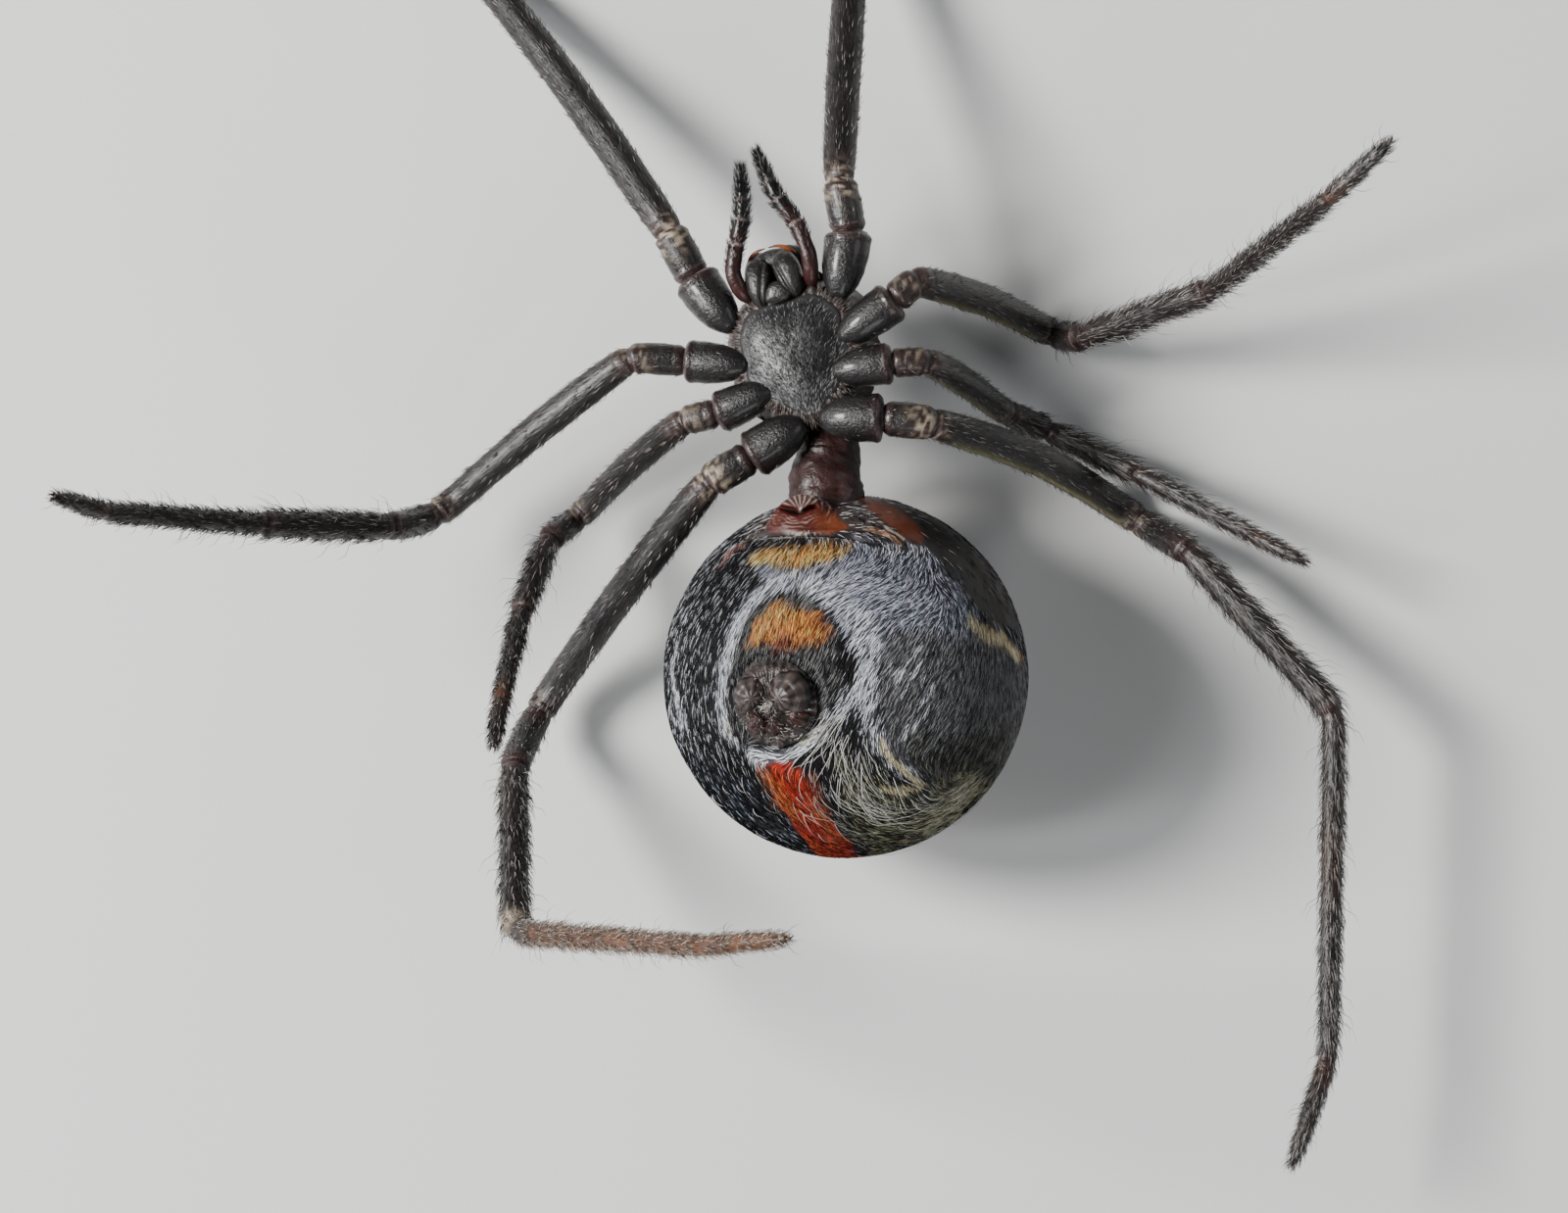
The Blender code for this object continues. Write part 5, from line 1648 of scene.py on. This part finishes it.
def addStrands():
    draw = np.random.default_rng(31)
    starts, lengths = [], []
    for (x, y), wide, tall, count, reach in strands["fields"]:
        for _ in range(count):
            right, up = x + draw.normal(scale=wide * 0.6), y + draw.normal(scale=tall * 0.6)
            starts.append(tuple(onBelly(right, up)))
            lengths.append(draw.uniform(*reach))
    points = np.array(starts)
    count = len(points)
    lift = draw.uniform(0.6, 1.6, count)
    lifts = [np.full(count, -0.006)]
    for share in strands["knots"]:
        lifts.append(strands["lift"] * lift * math.sin(math.pi * share) + 0.02)
    paths = surfacePaths(points, np.array(lengths), 7, lifts, draw.normal(scale=0.28, size=count))
    tone = shades(draw, 0.22, 0.90, count, (1.0, 0.98, 0.90))
    widths = draw.uniform(*strands["width"], count)
    growHairs("longBellyHair", "down", "abdomen_black", paths, unitRows(points), widths, tone,
              unwrapSpots(points))


def turnTo(normal):
    up = Vector(normal).normalized()
    side = Vector(belly["left"])
    side = (side - up * side.dot(up)).normalized()
    return Matrix((side, up.cross(side), up)).transposed()


spinnerets = {
    # angle round the middle, distance from it, radius, height, how upright, tone
    "cones": ((153, 0.52, 0.35, 0.44, 0.72, "umber"), (24, 0.43, 0.46, 0.50, 0.72, "umber"),
              (-30, 0.66, 0.20, 0.32, 0.75, "russet"), (-138, 0.54, 0.25, 0.32, 0.72, "russet"),
              (-92, 0.40, 0.26, 0.28, 0.80, "russet"), (-90, 0.74, 0.15, 0.18, 0.95, "umber")),
    "coneWidth": ((0, 0.35, 0.60, 0.64, 0.9, 1), (1.05, 1.0, 0.84, 0.70, 0.50, 0.16)),
    "umber": (0.044, 0.031, 0.028),
    "russet": (0.030, 0.0065, 0.004),
    # the round pad below them, with thin pale folds
    "pad": (0.022, 0.014, 0.013),
    "padSize": (0.90, 0.88),
    "fold": (0.30, 0.24, 0.21),
    "folds": (0.60, 0.74, 0.88),
    "hairs": 760,
    "tuft": 60,
    "tuftPlace": (0.02, -0.02),
}


def addSpinnerets():
    start = bellyCentre + belly["spinneret"] * 3.64
    turn = turnTo(belly["spinneret"])
    turned = np.array(turn)
    pad = discMesh(72, 11)
    points = verticesOf(pad)
    away, angle = polar(points)
    dome = 0.24 * np.cos(np.clip(away, 0, 1) * math.pi / 2) ** 0.7
    height = dome + 0.014 * np.cos(away * 52) + 0.012 * np.cos(angle * 30)
    local = np.column_stack([points[:, :2] * spinnerets["padSize"], height])
    local[:, 2] += 0.02 * noiseAt(local, 5.0, 3.0)
    moveVertices(pad, local @ turned.T + np.array(start))
    # painted light and shade: the pad's rings are lighter on their raised crests and darker in the grooves
    # between them
    tint = mottled(np.array(spinnerets["pad"]) * (1 + 0.6 * np.cos(away * 52))[:, None], local, 0.5, 4.0)
    for ring in spinnerets["folds"]:
        # strongest towards the head
        bright = 0.55 * bellAt(away, ring + 0.02 * np.cos(angle * 5 + ring * 9), 0.014)
        tint = blendTo(tint, spinnerets["fold"], bright * smoothStep(-0.2, 0.7, np.sin(angle)))
    giveTint(pad, tint)
    items = [pad]
    for angle, away, width, tall, upright, tone in spinnerets["cones"]:
        way = direction(angle, 0) * away
        base = start + turn @ (way + Vector((0, 0, 0.04)))
        top = start + turn @ (way * upright + Vector((0, 0, tall)))
        cone = Line([base, base.lerp(top, 0.5), top], 0.02)
        share = cone.at / cone.total
        item = sweptTube(cone.points, width * np.interp(share, *spinnerets["coneWidth"]), 28)
        points = verticesOf(item)
        index = cone.nearest(points)
        off = points - cone.points[index]
        around = np.arctan2(np.sum(off * cone.up[index], axis=1), np.sum(off * cone.side[index], axis=1))
        ribs = np.cos(around * 19 + 2 * noiseAt(points, 3.0))
        height = 0.017 * ribs + 0.012 * noiseAt(points, 6.0, 4.0)
        moveVertices(item, points + normalsOf(item) * height[:, None])
        # painted light and shade: each cone is lighter on the crests of its ribs and darker in the grooves
        # between them
        tint = mottled(np.array(spinnerets[tone]) * (0.80 + 0.75 * ribs)[:, None], points, 0.5, 4.0, 8.0)
        # painted shade: the cones turn darker towards their base, where they meet the pad
        low = (1 - smoothStep(0.0, 0.35, share[index]))[:, None]
        giveTint(item, tint * (1 - 0.75 * low) + 0.002)
        items.append(item)
    finishPiece(joinPieces(items), "spinneretGroup", "spinneret", "spinneret_brown", "spinnerets")
    draw = np.random.default_rng(5)
    count = spinnerets["hairs"]
    angle = draw.uniform(0, 2 * math.pi, count)
    away = draw.uniform(0.20, 0.86, count)
    way = np.column_stack([spread(angle, 1.0), 0 * angle])
    local = way * away[:, None]
    local[:, 2] = 0.30 - 0.36 * away ** 2.5
    outs = unitRows((way * 0.6 + np.array((0, 0, 1))) @ turned.T)
    lies = (-way + draw.normal(scale=0.35, size=(count, 3))) @ turned.T
    paths = leaningPaths(local @ turned.T + np.array(start), outs, lies, draw.uniform(0.10, 0.22, count),
                         draw.uniform(20, 60, count))
    below = np.sin(angle) < -0.2
    pale = draw.random(count) < np.where(below & (away > 0.5), 0.60, 0.10)
    # a pale tuft in the middle
    number = spinnerets["tuft"]
    tuft = np.arange(count) < number
    local[tuft, :2] = draw.normal(scale=0.07, size=(number, 2)) + np.array(spinnerets["tuftPlace"])
    local[tuft, 2] = 0.42
    roots = local[tuft] @ turned.T + np.array(start)
    paths[tuft] = leaningPaths(roots, outs[tuft], lies[tuft], np.full(number, 0.2), np.full(number, 55.0))
    pale |= tuft
    tone = (1.0, 0.96, 0.88)
    colours = np.where(pale[:, None], shades(draw, 0.3, 0.75, count, tone),
                       shades(draw, 0.01, 0.05, count, tone))
    growHairs("spinneretBristles", "hair", "spinneret_brown", paths, outs, 0.0065, colours,
              0.5 + 0.5 * local[:, :2])


pedicel = {
    "width": ((0, 0.2, 0.4, 0.65, 1), (0.50, 0.60, 0.68, 0.76, 0.80)),
    "skin": (0.026, 0.009, 0.008),
    "sheen": (0.085, 0.052, 0.050),
}


def addPedicel():
    back = frontTurn @ Vector((0, -1, 0))
    rear = front @ Vector((0, -1.62, -1.22))
    end = bellyCentre + belly["pedicel"] * 3.72
    bend = rear + back * 0.4
    line = Line([rear - back * 0.25, bend, bend.lerp(end, 0.6), end - belly["pedicel"] * 0.55], 0.035)
    item = taperedTube(line, pedicel["width"], 36)
    points = verticesOf(item)
    wrinkles = 0.07 * noiseAt(points, 1.5, 6.0) + 0.05 * noiseAt(points * np.array((1.0, 2.4, 1.0)), 2.8, 1.0)
    wrinkles += 0.022 * noiseAt(points, 7.0, 3.0)
    points = points + normalsOf(item) * wrinkles[:, None]
    moveVertices(item, points)
    # painted sheen: pale grey patches over the dark skin
    sheen = smoothStep(0.1, 0.5, noiseAt(points * np.array((1.6, 0.7, 1.6)), 4.0, 5.0))
    giveTint(item, blendTo(mottled(np.array(pedicel["skin"]), points, 0.7, 1.8, 2.0), pedicel["sheen"],
                           0.50 * sheen))
    finishPiece(item, "pedicelStalk", "soft", "pedicel_brown", "pedicel")


for addPart in (addAbdomen, addBellyHair, addStrands, addSpinnerets, addPedicel):
    addPart()
sayStage("abdomen")
